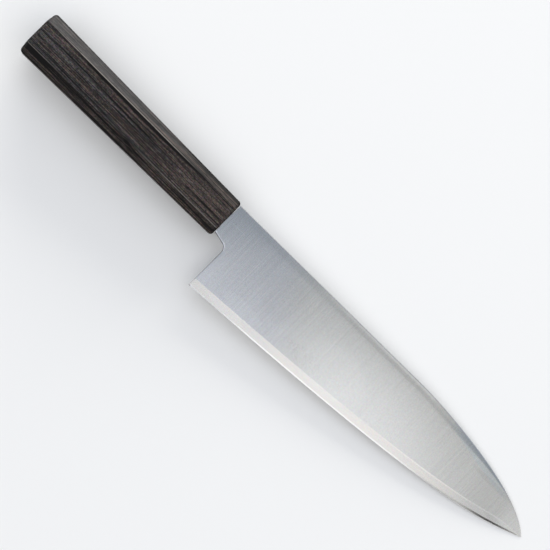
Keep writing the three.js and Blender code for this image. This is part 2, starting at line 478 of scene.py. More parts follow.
class Paint(Graph):
    """Node tree of one material, with the knife's own frame at hand."""

    def __init__(self, name: str) -> None:
        """Starts a material.

        Args:
            name: The material's name.
        """
        self.material = bpy.data.materials.new(name)
        self.material.use_nodes = True
        super().__init__(self.material.node_tree)

    def place(self, placing: Placing) -> Wire:
        """Finds the place on the piece in the knife's own frame.

        Args:
            placing: Where the knife lies.

        Returns:
            The place in millimetres.
        """
        point = self.add("ShaderNodeTexCoord", output="Object")
        sockets = {
            "Vector": point,
            "Location": placing.origin,
            "Rotation": (0.0, placing.lean, 0.0),
            "Scale": (MM, MM, MM),
        }
        return self.add("ShaderNodeMapping", {"vector_type": "TEXTURE"}, sockets)

    def normal(self) -> tuple[Wire, Wire, Wire]:
        """The three shares of the way that the surface faces."""
        return self.split(self.add("ShaderNodeNewGeometry", output="Normal"))

    def bump(self, height: Wire, distance: float) -> Wire:
        """Normal of a surface raised by a height from 0 to 1, with the full rise in millimetres."""
        return self.add("ShaderNodeBump", sockets={"Height": height, "Distance": distance * MM})

    def finish(self, **sockets: Wire | float | tuple) -> bpy.types.Material:
        """Ends the tree in one Principled shader.

        Args:
            sockets: The shader's inputs, with underscores for spaces.

        Returns:
            The finished material.
        """
        named = {key.replace("_", " "): value for key, value in sockets.items()}
        shader = self.add("ShaderNodeBsdfPrincipled", sockets=named)
        self.add("ShaderNodeOutputMaterial", sockets={"Surface": shader}, output=None)
        return self.material


# Finishes


@dataclass(frozen=True)
class SteelMark:
    """Soft-edged oval mark on the steel: wear such as a scratch or specks, or a patch of painted sheen
    or painted shade.

    Attributes:
        place: Its middle, along and across the blade.
        half: Half its length and height.
        gain: How much brighter it is than the steel round it, or darker where negative.
    """

    place: Point
    half: Point
    gain: float


@dataclass(frozen=True)
class SatinSteel:
    """Steel brushed from spine to edge, with a stone-polished bevel and a bright honed line, with
    painted reflection tints, painted highlights and painted shade laid into its colour.

    A fade is where something isn't there yet and where it is whole. A span is where it starts, is
    whole, starts to end and has ended. Places are measured along the knife, and reaches up from the
    edge, with 1 on the line that they are named for.
    """

    name: str = "satin_steel"

    # Cheeks, from a painted cool reflection tint at the heel to a neutral tint at the tip
    heel_colour: Colour = (0.688, 0.697, 0.731)
    tip_colour: Colour = (0.702, 0.706, 0.704)
    tint_fade: Point = (36.0, 62.0)
    tint_slant: float = 0.57
    cloud: Pattern = Pattern((0.03, 0.05, 0.3), 67.0, 1.0, gain=14.0)

    # Bevel and honed line
    bevel_colour: Colour = (0.740, 0.727, 0.709)
    bevel_warm: Colour = (0.757, 0.732, 0.704)
    bevel_fade: Point = (1.05, 0.95)
    bevel_pales: Point = (197.0, 168.0)
    warm_patches: Pattern = Pattern((0.09, 0.25, 0.3), 79.0, 1.0)
    warm_fade: Point = (0.35, 0.65)
    honed_colour: Colour = (0.77, 0.765, 0.755)
    honed_fade: Point = (1.1, 0.9)

    # Painted shade on the spine, the neck's underside and the choil, told apart by the way they face
    spine_colour: Colour = (0.25, 0.25, 0.255)
    spine_fade: Point = (0.1, 0.4)
    wall_colour: Colour = (0.14, 0.13, 0.125)
    wall_fade: Point = (0.12, 0.45)
    wall_ends: Point = (10.6, 10.0)

    # Painted highlights, painted shade and a painted reflection tint along stretches of the blade
    dulled: float = 0.041
    dulled_span: Span = (177.0, 193.0, 197.0, 210.0)
    point_gain: float = 0.14
    point_fade: Point = (200.0, 214.0)
    crest_gain: float = 0.10
    crest_reach: Span = (0.80, 0.92, 0.98, 1.06)
    crest_span: Span = (125.0, 160.0, 205.0, 213.0)
    roll_tint: Colour = (0.95, 1.0, 1.035)
    roll_span: Span = (148.0, 166.0, 192.0, 204.0)
    roll_slant: float = 0.168
    roll_fade: Point = (31.7, 32.7)

    # Wear, and patches of painted sheen and painted shade
    marks: tuple[SteelMark, ...] = (
        # A scratch, then painted sheen patches, a painted shade patch, and painted dark reflections
        # under the roll and by the edge near the tip
        SteelMark((7.5, 1.1), (6.5, 0.28), 0.06),
        SteelMark((92.0, -16.0), (25.0, 15.0), 0.05),
        SteelMark((38.0, -26.5), (16.0, 5.0), 0.055),
        SteelMark((30.0, -32.0), (15.0, 3.2), 0.04),
        SteelMark((50.0, -8.0), (17.0, 14.0), -0.04),
        SteelMark((190.0, 0.3), (15.0, 1.8), -0.07),
        SteelMark((203.0, -12.3), (7.0, 1.8), -0.07),
    )
    mark_fade: Point = (1.0, 0.3)
    specked: SteelMark = SteelMark((75.0, -21.5), (15.0, 4.5), -0.12)
    specks: Pattern = Pattern((2.0, 2.0, 0.6), 97.0, 0.0)
    speck_fade: Point = (0.60, 0.70)

    # Brush marks, fainter on the bevel
    fine: Pattern = Pattern((2.0, 0.03, 0.6), 3.0, 1.0, gain=0.13, rough=0.04)
    lines: Pattern = Pattern((0.9, 0.014, 0.4), 17.0, 1.0, gain=0.02, rough=0.03)
    grit: Pattern = Pattern((1.3, 1.3, 0.6), 29.0, 0.0, gain=0.07)
    hues: Pattern = Pattern((1.1, 1.1, 0.6), 43.0, 0.0, gain=0.05)
    bevel_calm: float = 0.7
    brush_depth: float = 0.0007
    roughness: float = 0.14
    bevel_roughness: float = 0.17
    honed_roughness: float = 0.085
    spine_roughness: float = 0.42

    def make(self, placing: Placing) -> bpy.types.Material:
        """Builds the material.

        Args:
            placing: Where the knife lies.

        Returns:
            The steel of the whole blade.
        """
        paint = Paint(self.name)
        point = paint.place(placing)
        along, across, _ = paint.split(point)
        backward, upward, _ = paint.normal()
        # Masks for the painted shade: the spine by its upward face, the neck's underside and choil by
        # their downward and backward faces
        spine = paint.smooth(upward, *self.spine_fade)
        facing = paint.math("MAXIMUM", -backward, -upward)
        wall = paint.smooth(facing, *self.wall_fade) * paint.smooth(along, *self.wall_ends)
        reach = paint.attribute(Reach.BEVEL.value)
        bevel = paint.smooth(reach, *self.bevel_fade)
        honed = paint.smooth(paint.attribute(Reach.HONED.value), *self.honed_fade)

        # Painted cool reflection tint over the cheeks, bluish at the heel and neutral towards the tip
        cloud = self.cloud.gain * (paint.noise(point, self.cloud) - 0.5)
        tipward = paint.smooth(along + self.tint_slant * across + cloud, *self.tint_fade)
        cheek = paint.mix_colours(self.heel_colour, self.tip_colour, tipward)
        warm = paint.smooth(paint.noise(point, self.warm_patches), *self.warm_fade)
        polished = paint.mix_colours(self.bevel_colour, self.bevel_warm, warm)
        steel = paint.mix_colours(cheek, polished, bevel * paint.smooth(along, *self.bevel_pales))
        steel = paint.mix_colours(steel, self.honed_colour, honed)
        # Painted shade darkens the spine, the neck's underside and the choil
        steel = paint.mix_colours(steel, self.spine_colour, spine)
        steel = paint.mix_colours(steel, self.wall_colour, wall)

        brushed = 1.0 - self.bevel_calm * bevel
        fine = paint.noise(point, self.fine)
        lines = paint.noise(point, self.lines) - 0.5
        grit = paint.noise(point, self.grit) - 0.5
        brushing = self.fine.gain * (fine - 0.5) + self.lines.gain * lines + self.grit.gain * grit
        shade = 1.0 + brushed * brushing + self.worn(paint, point)
        # Painted highlight along the bevel's crest, painted shade before the point and a painted
        # highlight at the point
        crest = paint.swell(reach, self.crest_reach) * paint.swell(along, self.crest_span)
        shade = shade + self.crest_gain * crest - self.dulled * paint.swell(along, self.dulled_span)
        shade = shade + self.point_gain * paint.smooth(along, *self.point_fade)
        steel = paint.multiply(steel, paint.grey(shade))
        # Painted cool reflection tint on the roll towards the tip
        rolled = paint.smooth(across + self.roll_slant * along, *self.roll_fade)
        steel = paint.multiply(steel, self.roll_tint, paint.swell(along, self.roll_span) * rolled)
        steel = paint.multiply(steel, paint.tinge(point, self.hues), self.hues.gain)

        rough = self.roughness + brushed * (self.lines.rough * lines + self.fine.rough * (fine - 0.5))
        rough = rough + bevel * (self.bevel_roughness - self.roughness)
        rough = rough + honed * (self.honed_roughness - self.bevel_roughness)
        rough = rough + spine * (self.spine_roughness - self.roughness)
        return paint.finish(
            Base_Color=steel,
            Metallic=1.0,
            Roughness=rough,
            Normal=paint.bump(fine * brushed, self.brush_depth),
        )

    def worn(self, paint: Paint, point: Wire) -> Wire:
        """Sums up what the wear and the painted sheen and shade patches add to the steel's shade.

        Args:
            paint: The steel's tree.
            point: Place on the blade.

        Returns:
            Brighter where positive, darker where negative.
        """
        along, across, _ = paint.split(point)

        def share(mark: SteelMark) -> Wire:
            """How much of a mark shows."""
            return paint.smooth(paint.oval((along, across), mark.place, mark.half), *self.mark_fade)

        specks = paint.smooth(paint.noise(point, self.specks), *self.speck_fade)
        shade = self.specked.gain * share(self.specked) * specks
        for mark in self.marks:
            shade = shade + mark.gain * share(mark)
        return shade


@dataclass(frozen=True)
class GrainStreak:
    """One long streak of the wood.

    Attributes:
        height: Its place across the wide flats.
        half_width: Half its width.
        span: Where it starts and ends along the handle.
        tone: How much paler it is than the wood round it, or darker where negative.
    """

    height: float
    half_width: float
    span: Point
    tone: float


@dataclass(frozen=True)
class Knot:
    """Dark oval in the wood.

    Attributes:
        place: Its middle.
        half: Half its length, height and depth.
        stain: How dark it is, with 1 for black.
    """

    place: Triple
    half: Triple
    stain: float

    def distance(self, paint: Paint, point: Wire) -> Wire:
        """Distance of a place from the knot's middle, with 1 on its rim."""
        offset = paint.vector("DIVIDE", paint.vector("SUBTRACT", point, self.place), self.half)
        return paint.measure("LENGTH", offset)


@dataclass(frozen=True)
class StreakedHardwood:
    """Nearly black oiled hardwood with fine brown streaks along it, a small knot, worn arrises with a
    painted sheen, and painted shade on its rims and outer arrises.

    A fade is where something isn't there yet and where it is whole.
    """

    name: str = "streaked_hardwood"

    # Colours by tone, and the casts laid over them: a grey cast, partly a painted sheen, towards the
    # butt
    #     # and the spine's side, and a red cast towards the front and the edge's side
    deep: Colour = (0.0025, 0.0022, 0.0022)
    dark: Colour = (0.0107, 0.0092, 0.0090)
    middle: Colour = (0.0353, 0.0304, 0.0291)
    pale: Colour = (0.094, 0.078, 0.070)
    tones: tuple[float, ...] = (0.0, 0.2, 0.5, 1.0)
    grey_cast: Colour = (0.94, 0.995, 1.045)
    red_cast: Colour = (1.08, 0.985, 0.93)
    cast: Pattern = Pattern((0.008, 0.3, 0.25), 61.0, 1.0)
    cast_fade: Point = (0.38, 0.62)
    cast_slope: float = 0.0025
    cast_middle: float = -66.0
    edge_cast: float = 0.22
    mottle: Pattern = Pattern((1.1, 1.7, 1.6), 71.0, 0.0, gain=1.6)
    hues: Pattern = Pattern((0.8, 1.2, 1.1), 83.0, 0.0, gain=0.32)

    # Grain
    wave: Pattern = Pattern((0.012, 0.06, 0.05), 5.0, 1.0)
    wave_bend: Point = (1.2, 1.4)
    bands: Pattern = Pattern((0.004, 0.22, 0.16), 11.0, 1.0, gain=0.8)
    lines: Pattern = Pattern((0.009, 0.85, 0.7), 23.0, 2.0, gain=1.7, rough=0.45, relief=1.1)
    fibres: Pattern = Pattern((0.022, 2.1, 1.9), 37.0, 3.0, gain=2.1, rough=0.4, relief=0.45)
    flecks: Pattern = Pattern((0.22, 1.7, 1.5), 41.0, 2.0, gain=0.9)
    pores: Pattern = Pattern((0.25, 2.4, 2.2), 53.0, 1.0, gain=0.6, rough=0.1, relief=-0.4)
    pore_fade: Point = (0.60, 0.70)
    streaks: tuple[GrainStreak, ...] = (
        GrainStreak(6.3, 1.5, (-106.0, -22.0), -0.55),
        GrainStreak(4.7, 0.8, (-118.0, -30.0), 0.26),
        GrainStreak(2.7, 1.6, (-108.0, -55.0), -0.26),
        GrainStreak(-1.3, 1.0, (-75.0, -28.0), -0.22),
        GrainStreak(-10.2, 4.6, (-150.0, -112.0), -0.42),
        GrainStreak(-8.6, 2.2, (-150.0, -108.0), -0.30),
        GrainStreak(-12.2, 1.0, (-126.0, -92.0), 0.18),
        GrainStreak(-10.0, 4.6, (-108.0, -48.0), -0.24),
        GrainStreak(-8.0, 1.8, (-35.0, 15.0), -0.44),
        GrainStreak(-10.5, 4.0, (-42.0, 15.0), -0.18),
        GrainStreak(9.8, 3.6, (-42.0, 15.0), -0.40),
        GrainStreak(-3.2, 1.8, (-40.0, 15.0), 0.25),
        GrainStreak(0.0, 1.0, (-42.0, 15.0), 0.20),
    )
    streak_ends: float = 14.0
    streak_core: float = 0.3
    knots: tuple[Knot, ...] = (
        Knot((-62.3, -8.0, 8.4), (2.7, 1.1, 1.5), 1.0),
        Knot((-57.0, -9.4, 7.0), (4.6, 1.0, 1.4), 0.6),
    )
    knot_fade: Point = (1.15, 0.6)
    knot_reach: float = 3.0
    knot_bend: float = 0.7

    # How the tone changes towards the ends and on the chamfers
    front_gain: float = 0.15
    front_fade: Point = (-60.0, -20.0)
    butt_gain: float = 0.11
    butt_fade: Point = (-90.0, -125.0)
    chamfer_fade: Point = (0.3, 0.6)
    edge_contrast: float = 0.3
    edge_tone: float = 0.13
    spine_calm: float = 0.6

    # Wear with a painted sheen on the arrises, the knots' stain, and painted shade on the rims and
    # outer arrises
    rubbed: Colour = (0.26, 0.235, 0.205)
    rubbing: tuple[GrainStreak, ...] = (
        GrainStreak(7.6, 1.5, (-118.0, -36.0), 0.8),
        GrainStreak(-6.9, 1.5, (-150.0, -118.0), 0.5),
        GrainStreak(-6.9, 1.5, (-52.0, 15.0), 0.5),
    )
    rubbing_gain: float = 0.15
    rubbing_start: float = 0.2
    rim_stain: float = 0.6
    outer_arris: float = 4.5
    arris_fade: Point = (0.9, 0.25)
    arris_stain: float = 0.7

    # Oil
    roughness: float = 0.42
    rim_roughness: float = 0.7
    arris_dulls: float = 0.3
    front_dulls: float = 0.18
    dull_fade: Point = (-50.0, -12.0)
    gloss: float = 0.15
    grain_depth: float = 0.03

    def make(self, placing: Placing) -> bpy.types.Material:
        """Builds the material.

        Args:
            placing: Where the knife lies.

        Returns:
            The wood of the handle.
        """
        paint = Paint(self.name)
        point = paint.place(placing)
        along, _, through = paint.split(point)
        grain = self.bent_grain(paint, point)
        lines = paint.noise(grain, self.lines)
        fibres = paint.noise(grain, self.fibres)
        pores = paint.smooth(paint.noise(grain, self.pores), *self.pore_fade)
        _, spineward, _ = paint.normal()
        edgeward = paint.smooth(-spineward, *self.chamfer_fade)

        tone = 0.5 + self.lines.gain * (lines - 0.5) + self.fibres.gain * (fibres - 0.5)
        for pattern in (self.bands, self.flecks):
            tone = tone + pattern.gain * (paint.noise(grain, pattern) - 0.5)
        tone = tone + self.front_gain * paint.smooth(along, *self.front_fade)
        tone = tone + self.butt_gain * paint.smooth(along, *self.butt_fade)
        tone = tone + self.streaking(paint, grain, self.streaks)
        tone = tone + self.edge_contrast * edgeward * (tone - self.edge_tone)
        stops = list(zip(self.tones, (self.deep, self.dark, self.middle, self.pale)))
        wood = paint.add("ShaderNodeValToRGB", {"stops": stops}, {"Fac": tone}, "Color")
        # Grey cast, partly a painted sheen, towards the butt and the spine's side; red cast towards the
        # front and the edge's side
        cast = paint.noise(grain, self.cast) + self.cast_slope * (along - self.cast_middle)
        red = paint.smooth(cast + self.edge_cast * edgeward, *self.cast_fade)
        wood = paint.multiply(wood, paint.mix_colours(self.grey_cast, self.red_cast, red))
        speckled = 1.0 - self.spine_calm * paint.smooth(spineward, *self.chamfer_fade)
        mottle = 1.0 + self.mottle.gain * (paint.noise(point, self.mottle) - 0.5)
        wood = paint.multiply(wood, paint.grey(mottle), speckled)
        wood = paint.multiply(wood, paint.tinge(point, self.hues), self.hues.gain * speckled)

        # Worn arrises with a painted sheen: a pale line along the rounded arrises
        arris = paint.attribute(HandleMark.ARRIS.value)
        rim = paint.attribute(HandleMark.RIM.value)
        rubbing = self.rubbing_gain * (lines - self.rubbing_start)
        rubbing = rubbing + self.streaking(paint, point, self.rubbing)
        wood = paint.mix_colours(wood, self.rubbed, arris * paint.clamp(rubbing))
        wood = paint.mix_colours(wood, self.deep, self.pores.gain * pores)
        # Painted shade darkens the end rims and the outer arrises; the knots add their real stain to
        # the same mask
        off_arris = paint.math("ABSOLUTE", paint.math("ABSOLUTE", through) - self.outer_arris)
        outer = paint.smooth(off_arris, *self.arris_fade)
        stain = paint.math("MAXIMUM", self.rim_stain * rim, self.arris_stain * outer)
        for knot in self.knots:
            core = paint.smooth(knot.distance(paint, point), *self.knot_fade)
            stain = paint.math("MAXIMUM", stain, knot.stain * core)

        rough = self.roughness + self.lines.rough * (lines - 0.5) + self.fibres.rough * (fibres - 0.5)
        rough = rough + self.pores.rough * pores + self.arris_dulls * outer
        rough = rough + self.front_dulls * paint.smooth(along, *self.dull_fade)
        rough = rough + rim * (self.rim_roughness - self.roughness)
        relief = self.fibres.relief * fibres + self.lines.relief * lines + self.pores.relief * pores
        return paint.finish(
            Base_Color=paint.mix_colours(wood, self.deep, stain),
            Roughness=rough,
            Specular_IOR_Level=self.gloss,
            Normal=paint.bump(relief, self.grain_depth),
        )

    def bent_grain(self, paint: Paint, point: Wire) -> Wire:
        """Bends the grain into slow waves, and round the knot.

        Args:
            paint: The wood's tree.
            point: Place on the handle.

        Returns:
            The same place along and across the grain.
        """
        near = paint.smooth(self.knots[0].distance(paint, point), self.knot_reach, 0.0)
        wave = paint.noise(point, self.wave) - 0.5
        across, through = self.wave_bend
        bend = paint.combine(0.0, across * wave - self.knot_bend * near, through * wave)
        return paint.vector("ADD", point, bend)

    def streaking(self, paint: Paint, grain: Wire, streaks: tuple[GrainStreak, ...]) -> Wire:
        """Sums up what streaks add to a tone.

        Args:
            paint: The wood's tree.
            grain: Place along and across the grain.
            streaks: The streaks.

        Returns:
            Paler where positive, darker where negative.
        """
        along, height, _ = paint.split(grain)
        total: Wire | float = 0.0
        for streak in streaks:
            start, end = streak.span
            ends = self.streak_ends
            lasting = paint.swell(along, (start - ends, start + ends, end - ends, end + ends))
            off = paint.math("ABSOLUTE", height - streak.height)
            inside = paint.smooth(off, streak.half_width, self.streak_core * streak.half_width)
            total = total + streak.tone * inside * lasting
        return total


@dataclass(frozen=True)
class PaleSoftwood:
    """Bare softwood with soft growth lines along its length."""

    name: str = "pale_softwood"
    early: Colour = (0.66, 0.51, 0.31)
    late: Colour = (0.46, 0.29, 0.14)
    late_fade: Point = (0.48, 0.66)
    lines: Pattern = Pattern((0.01, 0.9, 0.15), 7.0, 1.0, gain=0.8, rough=-0.12, relief=0.4)
    fibres: Pattern = Pattern((0.12, 5.0, 5.0), 29.0, gain=0.3, relief=0.6)
    roughness: float = 0.72
    grain_depth: float = 0.03

    def make(self, placing: Placing) -> bpy.types.Material:
        """Builds the material.

        Args:
            placing: Where the knife lies.

        Returns:
            The wood of the dowel.
        """
        paint = Paint(self.name)
        point = paint.place(placing)
        late = paint.smooth(paint.noise(point, self.lines), *self.late_fade)
        fibres = paint.noise(point, self.fibres)
        wood = paint.mix_colours(self.early, self.late, self.lines.gain * late)
        relief = self.fibres.relief * fibres + self.lines.relief * late
        return paint.finish(
            Base_Color=paint.multiply(wood, paint.grey(1.0 + self.fibres.gain * (fibres - 0.5))),
            Roughness=self.roughness + self.lines.rough * late,
            Normal=paint.bump(relief, self.grain_depth),
        )


@dataclass(frozen=True)
class CuredResin:
    """Cured resin with faint clouding and small bubbles."""

    name: str
    body: Colour
    cloud: Colour
    roughness: float
    clouding: Pattern = Pattern((0.25, 0.4, 0.4), 13.0, 3.0, rough=0.2)
    cloud_fade: Point = (0.4, 0.7)
    grit: Pattern = Pattern((2.5, 2.5, 2.5), 31.0, rough=0.15)
    bubble_fade: Point = (0.70, 0.78)
    bubble_depth: float = 0.04

    def make(self, placing: Placing) -> bpy.types.Material:
        """Builds the material.

        Args:
            placing: Where the knife lies.

        Returns:
            The resin of one filling.
        """
        paint = Paint(self.name)
        point = paint.place(placing)
        clouding = paint.noise(point, self.clouding)
        grit = paint.noise(point, self.grit)
        bubbles = paint.smooth(grit, *self.bubble_fade)
        colour = paint.mix_colours(self.body, self.cloud, paint.smooth(clouding, *self.cloud_fade))
        rough = self.roughness + self.clouding.rough * (clouding - 0.5) + self.grit.rough * bubbles
        return paint.finish(
            Base_Color=colour,
            Roughness=rough,
            Normal=paint.bump(grit - bubbles, self.bubble_depth),
        )


@dataclass(frozen=True)
class PaleFloor:
    """Plain matt floor, paler to the camera and in gloss than in the light that it gives back."""

    name: str = "pale_floor"
    seen: Colour = (0.887, 0.873, 0.852)
    given: Colour = (0.45, 0.45, 0.445)
    roughness: float = 0.75

    def make(self) -> bpy.types.Material:
        """Builds the material.

        Returns:
            The floor's material.
        """
        paint = Paint(self.name)
        ways = ("Is Camera Ray", "Is Glossy Ray", "Is Transmission Ray")
        camera, gloss, glass = (paint.add("ShaderNodeLightPath", output=way) for way in ways)
        colour = paint.mix_colours(self.given, self.seen, paint.clamp(camera + gloss + glass))
        return paint.finish(Base_Color=colour, Roughness=self.roughness)


# Meshes


def new_object(name: str, mesh: bpy.types.Mesh) -> bpy.types.Object:
    """Puts a mesh in the scene.

    Args:
        name: The object's name.
        mesh: Its mesh.

    Returns:
        The object, at the origin.
    """
    made = bpy.data.objects.new(name, mesh)
    bpy.context.scene.collection.objects.link(made)
    return made


def settle(made: bpy.types.Object) -> None:
    """Applies an object's modifiers, so that a plain mesh is left.

    Args:
        made: An object with its modifiers on. They are removed.
    """
    depsgraph = bpy.context.evaluated_depsgraph_get()
    mesh = bpy.data.meshes.new_from_object(made.evaluated_get(depsgraph))
    made.modifiers.clear()
    old = made.data
    mesh.name = made.name
    made.data = mesh
    bpy.data.meshes.remove(old)


def weigh_normals(made: bpy.types.Object) -> None:
    """Adds a modifier that lets large faces set the shading, so flats stay flat beside rounds."""
    modifier = made.modifiers.new("weigh_normals", "WEIGHTED_NORMAL")
    modifier.keep_sharp = True


def move_to_place(mesh: bpy.types.Mesh, placing: Placing) -> None:
    """Moves a mesh from the knife's own frame to its place, in metres.

    Args:
        mesh: A mesh in millimetres.
        placing: Where the knife lies.
    """
    points = np.empty(len(mesh.vertices) * 3)
    mesh.vertices.foreach_get("co", points)
    mesh.vertices.foreach_set("co", placing.place(points.reshape(-1, 3)).ravel())
    mesh.update()


@dataclass
class Skin:
    """Collects grids of points that share their borders, and welds them into one closed mesh."""

    points: list[np.ndarray] = field(default_factory=list)
    faces: list[np.ndarray] = field(default_factory=list)
    count: int = 0

    def grid(self, points: np.ndarray) -> None:
        """Adds a grid of points, and its mirror image on the other cheek.

        Args:
            points: X, Y and Z of each point, as rows by columns by 3.
        """
        rows, columns, _ = points.shape
        corner = np.arange(rows * columns).reshape(rows, columns)
        around = (corner[:-1, :-1], corner[1:, :-1], corner[1:, 1:], corner[:-1, 1:])
        quads = np.stack(around, axis=-1).reshape(-1, 4)
        for side in Side:
            self.points.append(points.reshape(-1, 3) * (1.0, 1.0, side.value))
            self.faces.append((quads if side is Side.RIGHT else quads[:, ::-1]) + self.count)
            self.count += rows * columns

    def mesh(self, name: str) -> bpy.types.Mesh:
        """Welds the grids.

        Args:
            name: The mesh's name.

        Returns:
            One closed mesh with its faces pointing out, smooth but for sharp corners.
        """
        mesh = bpy.data.meshes.new(name)
        mesh.from_pydata(np.concatenate(self.points), [], np.concatenate(self.faces).tolist())
        work = bmesh.new()
        work.from_mesh(mesh)
        bmesh.ops.remove_doubles(work, verts=work.verts, dist=WELD_DISTANCE)
        bmesh.ops.dissolve_degenerate(work, edges=work.edges, dist=WELD_DISTANCE)
        bmesh.ops.recalc_face_normals(work, faces=work.faces)
        for face in work.faces:
            face.smooth = True
        for edge in work.edges:
            edge.smooth = edge.calc_face_angle(math.pi) < math.radians(SHARP_ANGLE)
        work.to_mesh(mesh)
        work.free()
        return mesh


# Blade


@dataclass(frozen=True)
class OutlineCurve:
    """Cubic curve between two points, leaving each one along its own angle.

    Attributes:
        start: First point.
        start_angle: Angle at which the curve leaves it.
        start_pull: How long it keeps to that angle, as a share of the curve's length.
        end: Last point.
        end_angle: Angle at which the curve arrives.
        end_pull: How long it has kept to that angle, as a share of the curve's length.
    """

    start: Point
    start_angle: float
    start_pull: float
    end: Point
    end_angle: float
    end_pull: float

    def heights(self, x: np.ndarray) -> np.ndarray:
        """Finds heights of the curve.

        Args:
            x: Places along the knife.

        Returns:
            The heights there.
        """
        length = self.end[0] - self.start[0]
        start, end = np.array(self.start), np.array(self.end)
        leave = start + direction(self.start_angle) * self.start_pull * length
        arrive = end - direction(self.end_angle) * self.end_pull * length
        t = np.linspace(0.0, 1.0, CURVE_SAMPLES)[:, None]
        bend = 3 * (1 - t) ** 2 * t * leave + 3 * (1 - t) * t ** 2 * arrive
        curve = (1 - t) ** 3 * start + bend + t ** 3 * end
        return np.interp(x, curve[:, 0], curve[:, 1])


@dataclass(frozen=True)
class BladeLines:
    """The long lines of one cheek at some places along the blade: heights and half thicknesses."""

    edge: np.ndarray
    honed: np.ndarray
    bevel: np.ndarray
    roll: np.ndarray
    spine: np.ndarray
    honed_half: np.ndarray
    bevel_half: np.ndarray
    cheek_half: np.ndarray
    roll_drop: np.ndarray
    step_drop: np.ndarray
    crown_drop: np.ndarray
    spine_half: np.ndarray
    ease: np.ndarray
    fullness: np.ndarray


